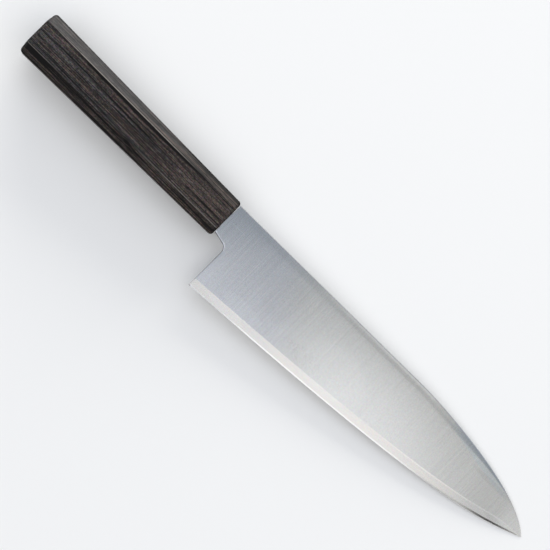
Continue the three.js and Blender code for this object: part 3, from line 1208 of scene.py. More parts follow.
@dataclass(frozen=True)
class Blade:
    """Ground steel blade with its neck and hidden tang.

    The grind tapers from the neck to the tip. Each cheek swells a little from the bevel up to its
    thickest line and ends in a small bevel and a honed line at the edge. Below the spine it is crowned
    above the heel, then a faint hollow runs along the middle of the blade and turns into a roll
    towards the tip. A fullness of 1 is a flat wedge.
    """

    # Outline
    length: float = 210.0
    heel_depth: float = 36.5
    tip_drop: float = 8.5
    spine_at_handle: float = 10.2
    spine_at_crest: float = 11.0
    crest_to_tip: float = 90.5
    crest_pull: float = 0.123
    spine_tip_angle: float = 45.0
    spine_tip_pull: float = 0.266
    heel_angle: float = 3.5
    heel_pull: float = 0.76
    edge_tip_angle: float = 21.8
    edge_tip_pull: float = 0.128

    # Neck and notch
    neck_length: float = 9.7
    neck_depth: float = 8.25
    neck_slope: float = 13.0
    notch_radius: float = 3.8
    neck_ease: float = 0.7
    shoulder: float = 0.3

    # Grind
    neck_thickness: float = 2.8
    tip_thickness: float = 0.5
    thickness_tip_share: float = 0.5
    taper_power: float = 0.8
    point_slope: float = 0.05
    spine_ease: float = 0.35
    cheek_fullness: float = 1.2
    neck_fullness: float = 1.5
    plunge_length: float = 30.0

    # Roll, crown and hollow below the spine
    roll_width: float = 3.9
    roll_tip_width: float = 0.4
    roll_tip_share: float = 0.33
    roll_narrows: Point = (152.0, 206.0)
    roll_angle: float = 5.0
    roll_softness: float = 1.12
    roll_start_from_tip: float = 84.0
    roll_full_from_tip: float = 55.0
    roll_fade_from_tip: Point = (8.0, 28.0)
    crown_drop: float = 0.07
    crown_power: float = 1.6
    crown_end: Point = (40.0, 66.0)
    step_drop: float = 0.050
    step_rise: float = 0.4
    step_span: Point = (0.04, 0.55)
    step_start: Point = (56.0, 82.0)

    # Bevel and honed line
    bevel_width: float = 4.7
    bevel_thickness: float = 0.76
    honed_width: float = 0.7
    honed_thickness: float = 0.3
    honed_tip_share: float = 0.12
    honed_tip_width: float = 1.05
    honed_tip_thickness: float = 0.43
    honed_widens: Point = (165.0, 198.0)
    bevel_tip_share: Point = (0.33, 0.55)
    bevel_narrows: Point = (4.0, 22.0)

    # Tang
    tang_root: Point = (9.0, 2.4)
    tang_end: Point = (5.5, 1.8)
    tang_back: float = -88.0

    # Mesh
    columns: int = 230
    tip_crowding: float = 1.5
    honed_rows: int = 2
    bevel_rows: int = 5
    lower_rows: int = 18
    upper_rows: int = 18
    roll_rows: int = 14
    ease_steps: int = 5
    underside_steps: int = 8
    notch_steps: int = 16
    tang_steps: int = 12

    @property
    def heel(self) -> Point:
        """Corner at the back of the edge."""
        return (self.neck_length, -self.heel_depth)

    @property
    def tip(self) -> Point:
        """Point of the blade."""
        return (self.neck_length + self.length, -self.tip_drop)

    def spine_at(self, x: np.ndarray) -> np.ndarray:
        """Finds heights of the spine: a straight back up to the crest, then the drop to the tip.

        Args:
            x: Places along the knife.

        Returns:
            The heights there.
        """
        crest = self.tip[0] - self.crest_to_tip
        slope = (self.spine_at_crest - self.spine_at_handle) / crest
        drop = OutlineCurve(
            (crest, self.spine_at_crest), math.degrees(math.atan(slope)), self.crest_pull,
            self.tip, -self.spine_tip_angle, self.spine_tip_pull,
        )
        return np.where(x < crest, self.spine_at_handle + slope * x, drop.heights(x))

    def edge_at(self, x: np.ndarray) -> np.ndarray:
        """Finds heights of the edge, carried straight on behind the heel.

        Args:
            x: Places along the knife.

        Returns:
            The heights there.
        """
        rise = OutlineCurve(
            self.heel, self.heel_angle, self.heel_pull,
            self.tip, self.edge_tip_angle, self.edge_tip_pull,
        )
        behind = (self.heel[0] - x) * math.tan(math.radians(self.heel_angle))
        return np.where(x < self.heel[0], self.heel[1] - behind, rise.heights(x))

    def lines_at(self, x: np.ndarray) -> BladeLines:
        """Works out the long lines of a cheek.

        Args:
            x: Places along the knife.

        Returns:
            The lines at those places.
        """
        edge, spine = self.edge_at(x), self.spine_at(x)
        depth = np.maximum(spine - edge, TINY)
        left = np.clip(1.0 - x / self.tip[0], 0.0, 1.0) ** self.taper_power
        from_tip = np.maximum(self.tip[0] - x, 0.0)
        thickness = lerp(self.tip_thickness, self.neck_thickness, left)
        half = limited(thickness / 2, self.point_slope * from_tip)
        bevel_half = limited(self.bevel_thickness / 2, self.thickness_tip_share * half)

        flat = smoothstep(from_tip, self.roll_full_from_tip, self.roll_start_from_tip)
        rolled = (1.0 - flat) * smoothstep(from_tip, *self.roll_fade_from_tip)
        roll_width = lerp(self.roll_width, self.roll_tip_width, smoothstep(x, *self.roll_narrows))
        roll_width = limited(roll_width, self.roll_tip_share * depth)
        full_drop = roll_width * math.tan(math.radians(self.roll_angle))
        roll_drop = rolled * limited(full_drop, self.thickness_tip_share * half)
        step_drop = self.step_drop * flat * smoothstep(x, *self.step_start)
        crown_drop = self.crown_drop * (1.0 - smoothstep(x, *self.crown_end))
        spine_half = half - roll_drop - step_drop * (1.0 - self.step_rise) - crown_drop
        plunge = smoothstep(x, 0.0, self.plunge_length)
        widened = smoothstep(x, *self.honed_widens)
        honed_width = lerp(self.honed_width, self.honed_tip_width, widened)
        honed_thickness = lerp(self.honed_thickness, self.honed_tip_thickness, widened)
        bevel_share = lerp(*self.bevel_tip_share, smoothstep(from_tip, *self.bevel_narrows))
        return BladeLines(
            edge=edge,
            honed=edge + limited(honed_width, self.honed_tip_share * depth),
            bevel=edge + limited(self.bevel_width, bevel_share * depth),
            roll=spine - roll_width,
            spine=spine,
            honed_half=bevel_half * honed_thickness / self.bevel_thickness,
            bevel_half=bevel_half,
            cheek_half=half,
            roll_drop=roll_drop,
            step_drop=step_drop,
            crown_drop=crown_drop,
            spine_half=spine_half,
            ease=limited(self.spine_ease, self.thickness_tip_share * spine_half),
            fullness=lerp(self.neck_fullness, self.cheek_fullness, plunge),
        )

    def half_at(self, x: np.ndarray, y: np.ndarray) -> np.ndarray:
        """Half thickness of the blade.

        Args:
            x: Places along the knife.
            y: Heights there.

        Returns:
            Distance of the cheek from the middle plane.
        """
        line = self.lines_at(x)
        in_honed = share_between(y, line.edge, line.honed)
        in_bevel = share_between(y, line.honed, line.bevel)
        in_cheek = share_between(y, line.bevel, line.roll)
        in_roll = share_between(y, line.roll, line.spine)
        swell = 1.0 - (1.0 - in_cheek) ** line.fullness
        low = line.honed_half * in_honed + (line.bevel_half - line.honed_half) * in_bevel
        high = (line.cheek_half - line.bevel_half) * swell
        rolled = line.roll_drop * in_roll ** self.roll_softness
        crowned = line.crown_drop * in_roll ** self.crown_power
        back_up = self.step_rise * smoothstep(in_roll, self.step_span[1], 1.0)
        stepped = line.step_drop * (smoothstep(in_roll, *self.step_span) - back_up)
        return low + high - rolled - crowned - stepped

    def eased_spine(self, x: np.ndarray) -> np.ndarray:
        """Points of the spine's rounding and of its middle line.

        Args:
            x: Places along the knife.

        Returns:
            Points as places by steps by 3.
        """
        line = self.lines_at(x)
        turns = np.arange(1, self.ease_steps + 1) / self.ease_steps * math.pi / 2
        y = [line.spine - line.ease * (1 - math.sin(turn)) for turn in turns] + [line.spine]
        z = [line.spine_half - line.ease * (1 - math.cos(turn)) for turn in turns] + [0 * x]
        return np.stack([np.stack([x] * len(y), -1), np.stack(y, -1), np.stack(z, -1)], axis=-1)

    def rows_between(self, x: np.ndarray, borders: list[np.ndarray], counts: list[int]) -> np.ndarray:
        """Points of a cheek, in rows that follow its long lines.

        Args:
            x: Places along the knife, as columns by rows.
            borders: Heights of the lines between the zones, shaped like x.
            counts: Rows in each zone.

        Returns:
            Points as columns by rows by 3.
        """
        zone = np.repeat(np.arange(len(counts)), counts)
        zone = np.append(zone, zone[-1])
        share = np.concatenate([np.arange(count) / count for count in counts] + [[1.0]])
        stack = np.stack(borders)
        row = np.arange(len(zone))
        y = lerp(stack[zone, :, row], stack[zone + 1, :, row], share[:, None]).T
        return np.stack([x, y, self.half_at(x, y)], axis=-1)

    def neck_path(self) -> tuple[np.ndarray, np.ndarray]:
        """Line under the neck and round the notch.

        Returns:
            Points of the line, and its directions into the steel.
        """
        into_neck = direction(90.0 - self.neck_slope)
        slope = math.radians(self.neck_slope)
        centre_x = self.neck_length - self.notch_radius
        fall = self.neck_depth + centre_x * math.tan(slope) + self.notch_radius / math.cos(slope)
        centre = np.array([centre_x, -fall])
        arc_start = centre + into_neck * self.notch_radius
        start = np.array([self.shoulder, -self.neck_depth - self.shoulder * math.tan(slope)])
        shares = np.arange(self.underside_steps) / self.underside_steps
        points = [lerp(start, arc_start, share) for share in shares]
        into = [into_neck] * self.underside_steps
        into[0] = direction(90.0)
        for angle in np.linspace(90.0 - self.neck_slope, 0.0, self.notch_steps + 1):
            points.append(centre + direction(angle) * self.notch_radius)
            into.append(direction(angle))
        return np.array(points), np.array(into)

    def ease_for(self, half: np.ndarray) -> np.ndarray:
        """Rounding of the neck and choil, smaller where the steel is thin."""
        return limited(self.neck_ease, self.thickness_tip_share * np.maximum(half, TINY))

    def skin(self) -> Skin:
        """Lays out the whole blade.

        Returns:
            Its grids, not yet welded.
        """
        path, into = self.neck_path()
        path_ease = self.ease_for(self.half_at(path[:, 0], path[:, 1]))
        start = path + into * path_ease[:, None]

        # Neck columns stand on the line under the neck.
        counts = [self.upper_rows, self.roll_rows]
        x = np.repeat(start[:, :1], sum(counts) + 1, axis=1)
        line = self.lines_at(x)
        waist = np.repeat(start[:, 1:], sum(counts) + 1, axis=1)
        neck = self.rows_between(x, [waist, line.roll, line.spine - line.ease], counts)
        neck = np.concatenate([neck, self.eased_spine(start[:, 0])], axis=1)

        # Blade columns run from the choil to the tip.
        low_counts = [self.honed_rows, self.bevel_rows, self.lower_rows]
        counts = low_counts + counts
        rows = sum(counts) + 1
        waist_row = sum(low_counts)
        foot = self.lines_at(start[-1:, 0])
        waist_share = ((start[-1, 1] - foot.bevel) / (foot.roll - foot.bevel))[0]

        def cheek(places: np.ndarray) -> np.ndarray:
            """Lays out rows of the cheek from the edge to the spine.

            Args:
                places: Places along the knife, as columns by rows.

            Returns:
                Points as columns by rows by 3.
            """
            at = self.lines_at(places)
            middle = lerp(at.bevel, at.roll, waist_share)
            borders = [at.edge, at.honed, at.bevel, middle, at.roll, at.spine - at.ease]
            return self.rows_between(places, borders, counts)

        choil = cheek(np.full((1, rows), self.neck_length))[0]
        choil_ease = self.ease_for(choil[:, 2])
        choil_ease[0] = 0.0
        choil_ease[waist_row:] = path_ease[-1]
        shares = 1.0 - (1.0 - np.linspace(0.0, 1.0, self.columns + 1)) ** self.tip_crowding
        x = lerp((self.neck_length + choil_ease)[None, :], self.tip[0], shares[:, None])
        blade = np.concatenate([cheek(x), self.eased_spine(x[:, -1])], axis=1)

        # The rounding goes along the neck, round the notch and down the choil to the heel.
        low = blade[0, waist_row - 1 :: -1]
        wall = np.stack([np.full(waist_row, self.neck_length), low[:, 1]], axis=-1)
        foot_points = np.concatenate([path, wall])
        foot_into = np.concatenate([into, np.tile(direction(0.0), (waist_row, 1))])
        foot_ease = np.concatenate([path_ease, choil_ease[waist_row - 1 :: -1]])
        foot_half = np.concatenate([neck[:, 0, 2], low[:, 2]])
        strip = self.rounding(foot_points, foot_into, foot_ease, foot_half)

        skin = Skin()
        skin.grid(neck)
        skin.grid(blade)
        skin.grid(strip[:, ::-1])
        skin.grid(self.tang(np.concatenate([strip[0, :0:-1], neck[0]]))[::-1])
        return skin

    def rounding(
        self, foot: np.ndarray, into: np.ndarray, ease: np.ndarray, half: np.ndarray
    ) -> np.ndarray:
        """Rounded strip from a cheek over to the middle of the wall at its foot.

        Args:
            foot: Line of the wall.
            into: Directions from the wall into the steel.
            ease: Radius of the rounding.
            half: Half thickness at the top of the rounding.

        Returns:
            Points as places by steps by 3.
        """
        columns = []
        for turn in np.arange(self.ease_steps + 1) / self.ease_steps * math.pi / 2:
            flat = foot + into * (ease * (1 - math.sin(turn)))[:, None]
            columns.append(np.column_stack([flat, half - ease * (1 - math.cos(turn))]))
        columns.append(np.column_stack([foot, np.zeros(len(foot))]))
        return np.stack(columns, axis=1)

    def tang(self, profile: np.ndarray) -> np.ndarray:
        """Shoulder and tang behind the neck.

        Args:
            profile: Half of the neck's end section, from its foot to the spine.

        Returns:
            Points of that half as places by steps by 3.
        """
        middle = (profile[:, 1].max() + profile[:, 1].min()) / 2
        unit_y = (profile[:, 1] - middle) / (profile[:, 1].max() - middle)
        unit_z = profile[:, 2] / profile[:, 2].max()
        rings = [profile]
        for share in np.linspace(0.0, 1.0, self.tang_steps + 1):
            height, thickness = lerp(np.array(self.tang_root), np.array(self.tang_end), share)
            x = np.full(len(profile), lerp(self.shoulder, self.tang_back, share))
            rings.append(np.column_stack([x, unit_y * height / 2, unit_z * thickness / 2]))
        rings.append(rings[-1] * (1.0, 1.0, 0.0))
        return np.stack(rings)

    def build(self, placing: Placing) -> bpy.types.Object:
        """Builds the blade's mesh.

        Args:
            placing: Where the knife lies.

        Returns:
            The blade in its place, not yet dressed.
        """
        mesh = self.skin().mesh("satin_blade")
        self.mark_lines(mesh)
        move_to_place(mesh, placing)
        made = new_object(mesh.name, mesh)
        weigh_normals(made)
        settle(made)
        return made

    def mark_lines(self, mesh: bpy.types.Mesh) -> None:
        """Stores how far each point lies from the long lines, and keeps the ground lines sharp.

        Args:
            mesh: The blade in the knife's own frame.
        """
        points = np.empty(len(mesh.vertices) * 3)
        mesh.vertices.foreach_get("co", points)
        x, y, _ = points.reshape(-1, 3).T
        line = self.lines_at(x)
        reaches = {
            Reach.HONED: (y - line.edge) / np.maximum(line.honed - line.edge, COORDINATE_SLACK),
            Reach.BEVEL: (y - line.edge) / np.maximum(line.bevel - line.edge, COORDINATE_SLACK),
        }
        for reach, values in reaches.items():
            attribute = mesh.attributes.new(reach.value, "FLOAT", "POINT")
            attribute.data.foreach_set("value", values.astype(np.float32))
        ends = np.empty(len(mesh.edges) * 2, np.int32)
        mesh.edges.foreach_get("vertices", ends)
        sharp = np.empty(len(mesh.edges), bool)
        mesh.edges.foreach_get("use_edge_sharp", sharp)
        for values in reaches.values():
            on_line = (np.abs(values - 1.0) < LINE_NEARNESS) & (x > self.neck_length - COORDINATE_SLACK)
            sharp |= on_line[ends.reshape(-1, 2)].all(axis=1)
        mesh.edges.foreach_set("use_edge_sharp", sharp)

    def dress(self, made: bpy.types.Object, steel: SatinSteel, placing: Placing) -> None:
        """Gives the blade its steel, and lets it stand for its CAD node.

        Args:
            made: The built blade.
            steel: Its finish.
            placing: Where the knife lies.
        """
        made.data.materials.clear()
        made.data.materials.append(steel.make(placing))
        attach(made, BODY)
        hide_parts(CadNode.BLADE.value)


# Handle


@dataclass(frozen=True)
class HandleEnd:
    """Octagon at one end of the handle.

    Attributes:
        height: Across the narrow sides.
        thickness: Across the wide flats.
        corner: Legs of the 45 degree corner cuts.
        rounding: Radius of the end's rim.
    """

    height: float
    thickness: float
    corner: float
    rounding: float


@dataclass(frozen=True)
class HandleGrid:
    """Place of a point in the handle's grid, as wires of its node tree.

    The rings start as one point on the butt, pass over the butt's rim, the facets and the front's rim,
    and go down the bore to the drill point.

    Attributes:
        around: How many points a ring has.
        side: The point's number in its ring.
        ring: The ring's number.
        butt_turn: From 0 on the butt's end face to 1 where the facets start.
        front_turn: From 1 where the facets end to 0 on the front's end face.
        travelled: Share of the facets behind the ring.
        inside: Rings past the front's end face, or less than 1 outside.
    """

    around: Wire
    side: Wire
    ring: Wire
    butt_turn: Wire
    front_turn: Wire
    travelled: Wire
    inside: Wire


@dataclass(frozen=True)
class Handle:
    """Tapered octagonal handle, bored from the front.

    Attributes:
        length: From the butt to the front.
        butt: Octagon at the butt.
        front: Octagon at the front.
        arris_ease: How far from a long corner its rounding starts.
        bore_radius: Half the bore's width.
        bore_depth: Depth of the bore without its drill point.
        drill_point_depth: Depth of the cone at the bore's end.
        arris_steps: Faces round a long corner.
        end_steps: Faces over an end's rim.
        facet_steps: Faces along a facet.
    """

    length: float = 133.0
    butt: HandleEnd = HandleEnd(26.1, 20.0, 5.65, 2.2)
    front: HandleEnd = HandleEnd(22.0, 17.4, 4.1, 1.8)
    arris_ease: float = 0.35
    bore_radius: float = 6.094
    bore_depth: float = 97.3
    drill_point_depth: float = 3.66
    arris_steps: int = 6
    end_steps: int = 8
    facet_steps: int = 30

    def inputs(self) -> dict[str, float | int]:
        """Lists the node tree's inputs.

        Returns:
            Their values by name.
        """
        sizes: dict[str, float | int] = {
            "Length": self.length,
            "Arris Ease": self.arris_ease,
            "Bore Radius": self.bore_radius,
            "Bore Depth": self.bore_depth,
            "Drill Point Depth": self.drill_point_depth,
            "Arris Steps": self.arris_steps,
            "End Steps": self.end_steps,
            "Facet Steps": self.facet_steps,
        }
        for end, octagon in ((End.BUTT, self.butt), (End.FRONT, self.front)):
            for size, value in asdict(octagon).items():
                sizes[f"{end.value} {size.title()}"] = value
        return sizes

    def tree(self) -> bpy.types.NodeTree:
        """Builds the node tree that lofts the handle from its two end octagons.

        Returns:
            The tree, with a named input for each size and for the wood.
        """
        tree = bpy.data.node_groups.new("octagonal_handle", "GeometryNodeTree")
        graph = Graph(tree)
        given = self.declare(graph)
        mesh, grid = self.grid(graph, given)
        outside = self.outside(graph, given, grid)
        bore = self.bore(graph, given, grid)
        place = graph.mix_vectors(outside, bore, grid.inside > 0.5)
        marked = graph.add("GeometryNodeSetPosition", sockets={"Geometry": mesh, "Position": place})

        eased = graph.math("MODULO", grid.side, given["Arris Steps"] + 1.0) / given["Arris Steps"]
        marks = {
            HandleMark.ARRIS: 4.0 * eased * (1.0 - eased),
            HandleMark.RIM: 1.0 - grid.butt_turn * grid.front_turn,
        }
        for mark, share in marks.items():
            sockets = {"Geometry": marked, "Name": mark.value, "Value": share}
            marked = graph.add("GeometryNodeStoreNamedAttribute", {"data_type": "FLOAT"}, sockets)
        wooden = self.close(graph, marked, given["Wood"])
        graph.add("NodeGroupOutput", sockets={0: wooden}, output=None)
        return tree

    def declare(self, graph: Graph) -> dict[str, Wire]:
        """Args:
            graph: The handle's tree.

        Returns:
            The inputs by name.
        """
        interface = graph.tree.interface
        for name, value in self.inputs().items():
            kind = "NodeSocketInt" if isinstance(value, int) else "NodeSocketFloat"
            interface.new_socket(name, in_out="INPUT", socket_type=kind)
        interface.new_socket("Wood", in_out="INPUT", socket_type="NodeSocketMaterial")
        interface.new_socket("Handle", in_out="OUTPUT", socket_type="NodeSocketGeometry")
        entry = graph.add("NodeGroupInput").socket.node
        return {socket.name: Wire(graph, socket) for socket in entry.outputs if socket.name}

    def grid(self, graph: Graph, given: dict[str, Wire]) -> tuple[Wire, HandleGrid]:
        """Lays out a flat grid with a column for each point round the handle.

        Args:
            graph: The handle's tree.
            given: Its inputs by name.

        Returns:
            The grid's mesh, and where each of its points belongs.
        """
        octagon = self.profile(graph, given, End.BUTT, 0.0)
        sockets = {"Geometry": octagon}
        around = graph.add("GeometryNodeAttributeDomainSize", {"component": "CURVE"}, sockets)
        end_steps, facet_steps = given["End Steps"], given["Facet Steps"]
        last = 2.0 * end_steps + facet_steps
        butt_middle, bore_rings = 1.0, 3.0
        rings, columns = butt_middle + last + 1.0 + bore_rings, around + 1.0
        sockets = {"Size X": 1.0, "Size Y": 1.0, "Vertices X": rings, "Vertices Y": columns}
        mesh = graph.add("GeometryNodeMeshGrid", sockets=sockets)

        index = graph.add("GeometryNodeInputIndex")
        ring = graph.math("FLOOR", (index + 0.5) / columns)
        station = ring - butt_middle
        return mesh, HandleGrid(
            around=around,
            side=graph.math("MODULO", index - ring * columns, around),
            ring=ring,
            butt_turn=graph.clamp(station / end_steps),
            front_turn=graph.clamp((last - station) / end_steps),
            travelled=graph.clamp((station - end_steps) / facet_steps),
            inside=station - last,
        )

    def outside(self, graph: Graph, given: dict[str, Wire], grid: HandleGrid) -> Wire:
        """Places the rings outside: the end faces, the rounded rims and the facets.

        Args:
            graph: The handle's tree.
            given: Its inputs by name.
            grid: The point's place in the grid.

        Returns:
            The point.
        """
        quarter = math.pi / 2
        butt_round, front_round = (given[f"{end.value} Rounding"] for end in End)
        straight = given["Length"] - butt_round - front_round
        behind = butt_round * (1.0 - graph.math("COSINE", grid.butt_turn * quarter))
        ahead = front_round * graph.math("COSINE", grid.front_turn * quarter)
        x = behind + grid.travelled * straight + ahead - given["Length"]
        butt_inset = butt_round * (1.0 - graph.math("SINE", grid.butt_turn * quarter))
        front_inset = front_round * (1.0 - graph.math("SINE", grid.front_turn * quarter))

        octagons = ((End.BUTT, 0.0), (End.FRONT, 0.0), (End.BUTT, 1.0))
        curves = [self.profile(graph, given, end, inset) for end, inset in octagons]
        at_butt, at_front, drawn_in = (self.sample(graph, curve, grid.side) for curve in curves)
        taper = graph.mix_vectors(at_butt, at_front, x / given["Length"] + 1.0)
        inward = graph.vector("SUBTRACT", drawn_in, at_butt)
        section = graph.vector("MULTIPLY_ADD", inward, graph.grey(butt_inset + front_inset), taper)
        across, through, _ = graph.split(section)
        opened = graph.clamp(grid.ring)
        return graph.combine(x, across * opened, through * opened)

    @staticmethod
    def bore(graph: Graph, given: dict[str, Wire], grid: HandleGrid) -> Wire:
        """Places the rings of the bore: its mouth, its bottom and the drill point.

        Args:
            graph: The handle's tree.
            given: Its inputs by name.
            grid: The point's place in the grid.

        Returns:
            The point.
        """
        way = (grid.side + 0.5) / grid.around * math.tau
        at_bottom = graph.clamp(grid.inside - 1.0)
        at_point = graph.clamp(grid.inside - 2.0)
        radius = given["Bore Radius"] * (1.0 - at_point)
        depth = given["Bore Depth"] * at_bottom + given["Drill Point Depth"] * at_point
        y = radius * graph.math("COSINE", way)
        z = radius * graph.math("SINE", way)
        return graph.combine(-depth, y, z)

    @staticmethod
    def close(graph: Graph, marked: Wire, wood: Wire) -> Wire:
        """Welds the grid into a closed mesh, smooth but for its sharp corners.

        Args:
            graph: The handle's tree.
            marked: The placed grid.
            wood: The handle's material.

        Returns:
            The finished handle.
        """
        sockets = {"Geometry": marked, "Distance": WELD_DISTANCE}
        welded = graph.add("GeometryNodeMergeByDistance", sockets=sockets)
        turned = graph.add("GeometryNodeFlipFaces", sockets={"Mesh": welded})
        sockets = {"Geometry": turned, "Shade Smooth": True}
        smooth = graph.add("GeometryNodeSetShadeSmooth", sockets=sockets)
        corner = graph.add("GeometryNodeInputMeshEdgeAngle") > math.radians(SHARP_ANGLE)
        sockets = {"Geometry": smooth, "Selection": corner, "Shade Smooth": False}
        creased = graph.add("GeometryNodeSetShadeSmooth", {"domain": "EDGE"}, sockets)
        whole = graph.add("GeometryNodeRealizeInstances", sockets={"Geometry": creased})
        return graph.add("GeometryNodeSetMaterial", sockets={"Geometry": whole, "Material": wood})

    @staticmethod
    def profile(graph: Graph, given: dict[str, Wire], end: End, inset: float) -> Wire:
        """Octagon with eased corners as a curve, across the handle in X and through it in Y.

        Args:
            graph: The handle's tree.
            given: Its inputs by name.
            end: The end that the octagon is at.
            inset: How far every side is drawn in.

        Returns:
            The closed curve.
        """
        sockets = {
            "Width": given[f"{end.value} Height"] - 2.0 * inset,
            "Height": given[f"{end.value} Thickness"] - 2.0 * inset,
        }
        blank = graph.add("GeometryNodeCurvePrimitiveQuadrilateral", {"mode": "RECTANGLE"}, sockets)
        cut = given[f"{end.value} Corner"] - inset * (2.0 - math.sqrt(2.0))
        sockets = {"Curve": blank, "Count": 1, "Radius": cut}
        octagon = graph.add("GeometryNodeFilletCurve", {"mode": "POLY"}, sockets)
        radius = given["Arris Ease"] / math.tan(math.pi / 8)
        sockets = {"Curve": octagon, "Count": given["Arris Steps"], "Radius": radius}
        return graph.add("GeometryNodeFilletCurve", {"mode": "POLY"}, sockets)

    @staticmethod
    def sample(graph: Graph, curve: Wire, index: Wire) -> Wire:
        """Finds a point of a curve.

        Args:
            graph: The handle's tree.
            curve: The curve.
            index: The point's number.

        Returns:
            Its place.
        """
        settings = {"data_type": "FLOAT_VECTOR", "domain": "POINT"}
        position = graph.add("GeometryNodeInputPosition")
        sockets = {"Geometry": curve, "Value": position, "Index": index}
        return graph.add("GeometryNodeSampleIndex", settings, sockets)

    def build(self, placing: Placing, wood: StreakedHardwood) -> bpy.types.Object:
        """Builds the handle from its node tree.

        Args:
            placing: Where the knife lies.
            wood: The handle's finish.

        Returns:
            The handle in its place.
        """
        made = new_object("octagonal_handle", bpy.data.meshes.new("octagonal_handle"))
        modifier = made.modifiers.new("octagonal_handle", "NODES")
        modifier.node_group = self.tree()
        values = {**self.inputs(), "Wood": wood.make(placing)}
        for item in modifier.node_group.interface.items_tree:
            if item.in_out == "INPUT":
                modifier[item.identifier] = values[item.name]
        weigh_normals(made)
        settle(made)
        move_to_place(made.data, placing)
        return made

    @staticmethod
    def dress(made: bpy.types.Object) -> None:
        """Lets the handle stand for its CAD node.

        Args:
            made: The built handle.
        """
        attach(made, BODY)
        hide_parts(CadNode.HANDLE.value)


# What holds the tang


@dataclass(frozen=True)
class TangFittings:
    """Softwood dowel, resin bedding and resin plug round the tang, kept as the CAD made them."""

    seal_length: float = 2.0
    softwood: PaleSoftwood = PaleSoftwood()
    amber: CuredResin = CuredResin("amber_resin", (0.40, 0.24, 0.08), (0.52, 0.34, 0.14), 0.28)
    dark: CuredResin = CuredResin("dark_resin", (0.012, 0.010, 0.009), (0.030, 0.025, 0.021), 0.5)

    def dress(self, placing: Placing) -> list[bpy.types.Object]:
        """Gives each fitting its finish.

        Args:
            placing: Where the knife lies.

        Returns:
            The dressed CAD nodes.
        """
        finishes = {
            CadNode.DOWEL: (self.softwood, Slot.DOWEL_WOOD),
            CadNode.BEDDING: (self.amber, Slot.BEDDING_RESIN),
            CadNode.SEAL: (self.dark, Slot.SEAL_RESIN),
        }
        dressed = []
        for node, (finish, slot) in finishes.items():
            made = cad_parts[node.value]
            made.data.materials.clear()
            made.data.materials.append(finish.make(placing))
            dressed.append(made)
        return dressed


# Studio


@dataclass(frozen=True)
class SoftLamp:
    """Soft light with an even face.

    Attributes:
        name: The lamp's name.
        place: Where it hangs, in metres.
        target: What it faces.
        size: Its width and height, in metres.
        radiance: Brightness of its face, with 1 for white.
        colour: Tint of its light.
    """

    name: str
    place: Triple
    target: Triple
    size: Point
    radiance: float
    colour: Colour

    def hang(self) -> None:
        """Hangs the lamp in the scene."""
        light = bpy.data.lights.new(self.name, "AREA")
        light.shape = "RECTANGLE"
        light.size, light.size_y = self.size
        light.energy = self.radiance * math.pi * self.size[0] * self.size[1]
        light.color = self.colour
        lamp = bpy.data.objects.new(self.name, light)
        lamp.location = self.place
        facing = Vector(self.target) - Vector(self.place)
        lamp.rotation_euler = facing.to_track_quat("-Z", "Y").to_euler()
        lamp.visible_camera = False
        bpy.context.scene.collection.objects.link(lamp)


@dataclass(frozen=True)
class TentOpening:
    """Dark gap in the tent's cloth.

    Attributes:
        way: Direction of its middle.
        angles: Where the gap ends and where the cloth is whole, from its middle.
        colour: Light through the gap.
    """

    way: Triple
    angles: Point
    colour: Colour


@dataclass(frozen=True)
class TentPanel:
    """Bright oval panel behind the tent's cloth.

    Attributes:
        place: Slope of the way to its middle, along X and along Y.
        half: Half its width and length, as slopes too.
        colour: What it adds to the cloth.
        softness: How gently it ends, as a share of its size.
    """

    place: Point
    half: Point
    colour: Colour
    softness: float


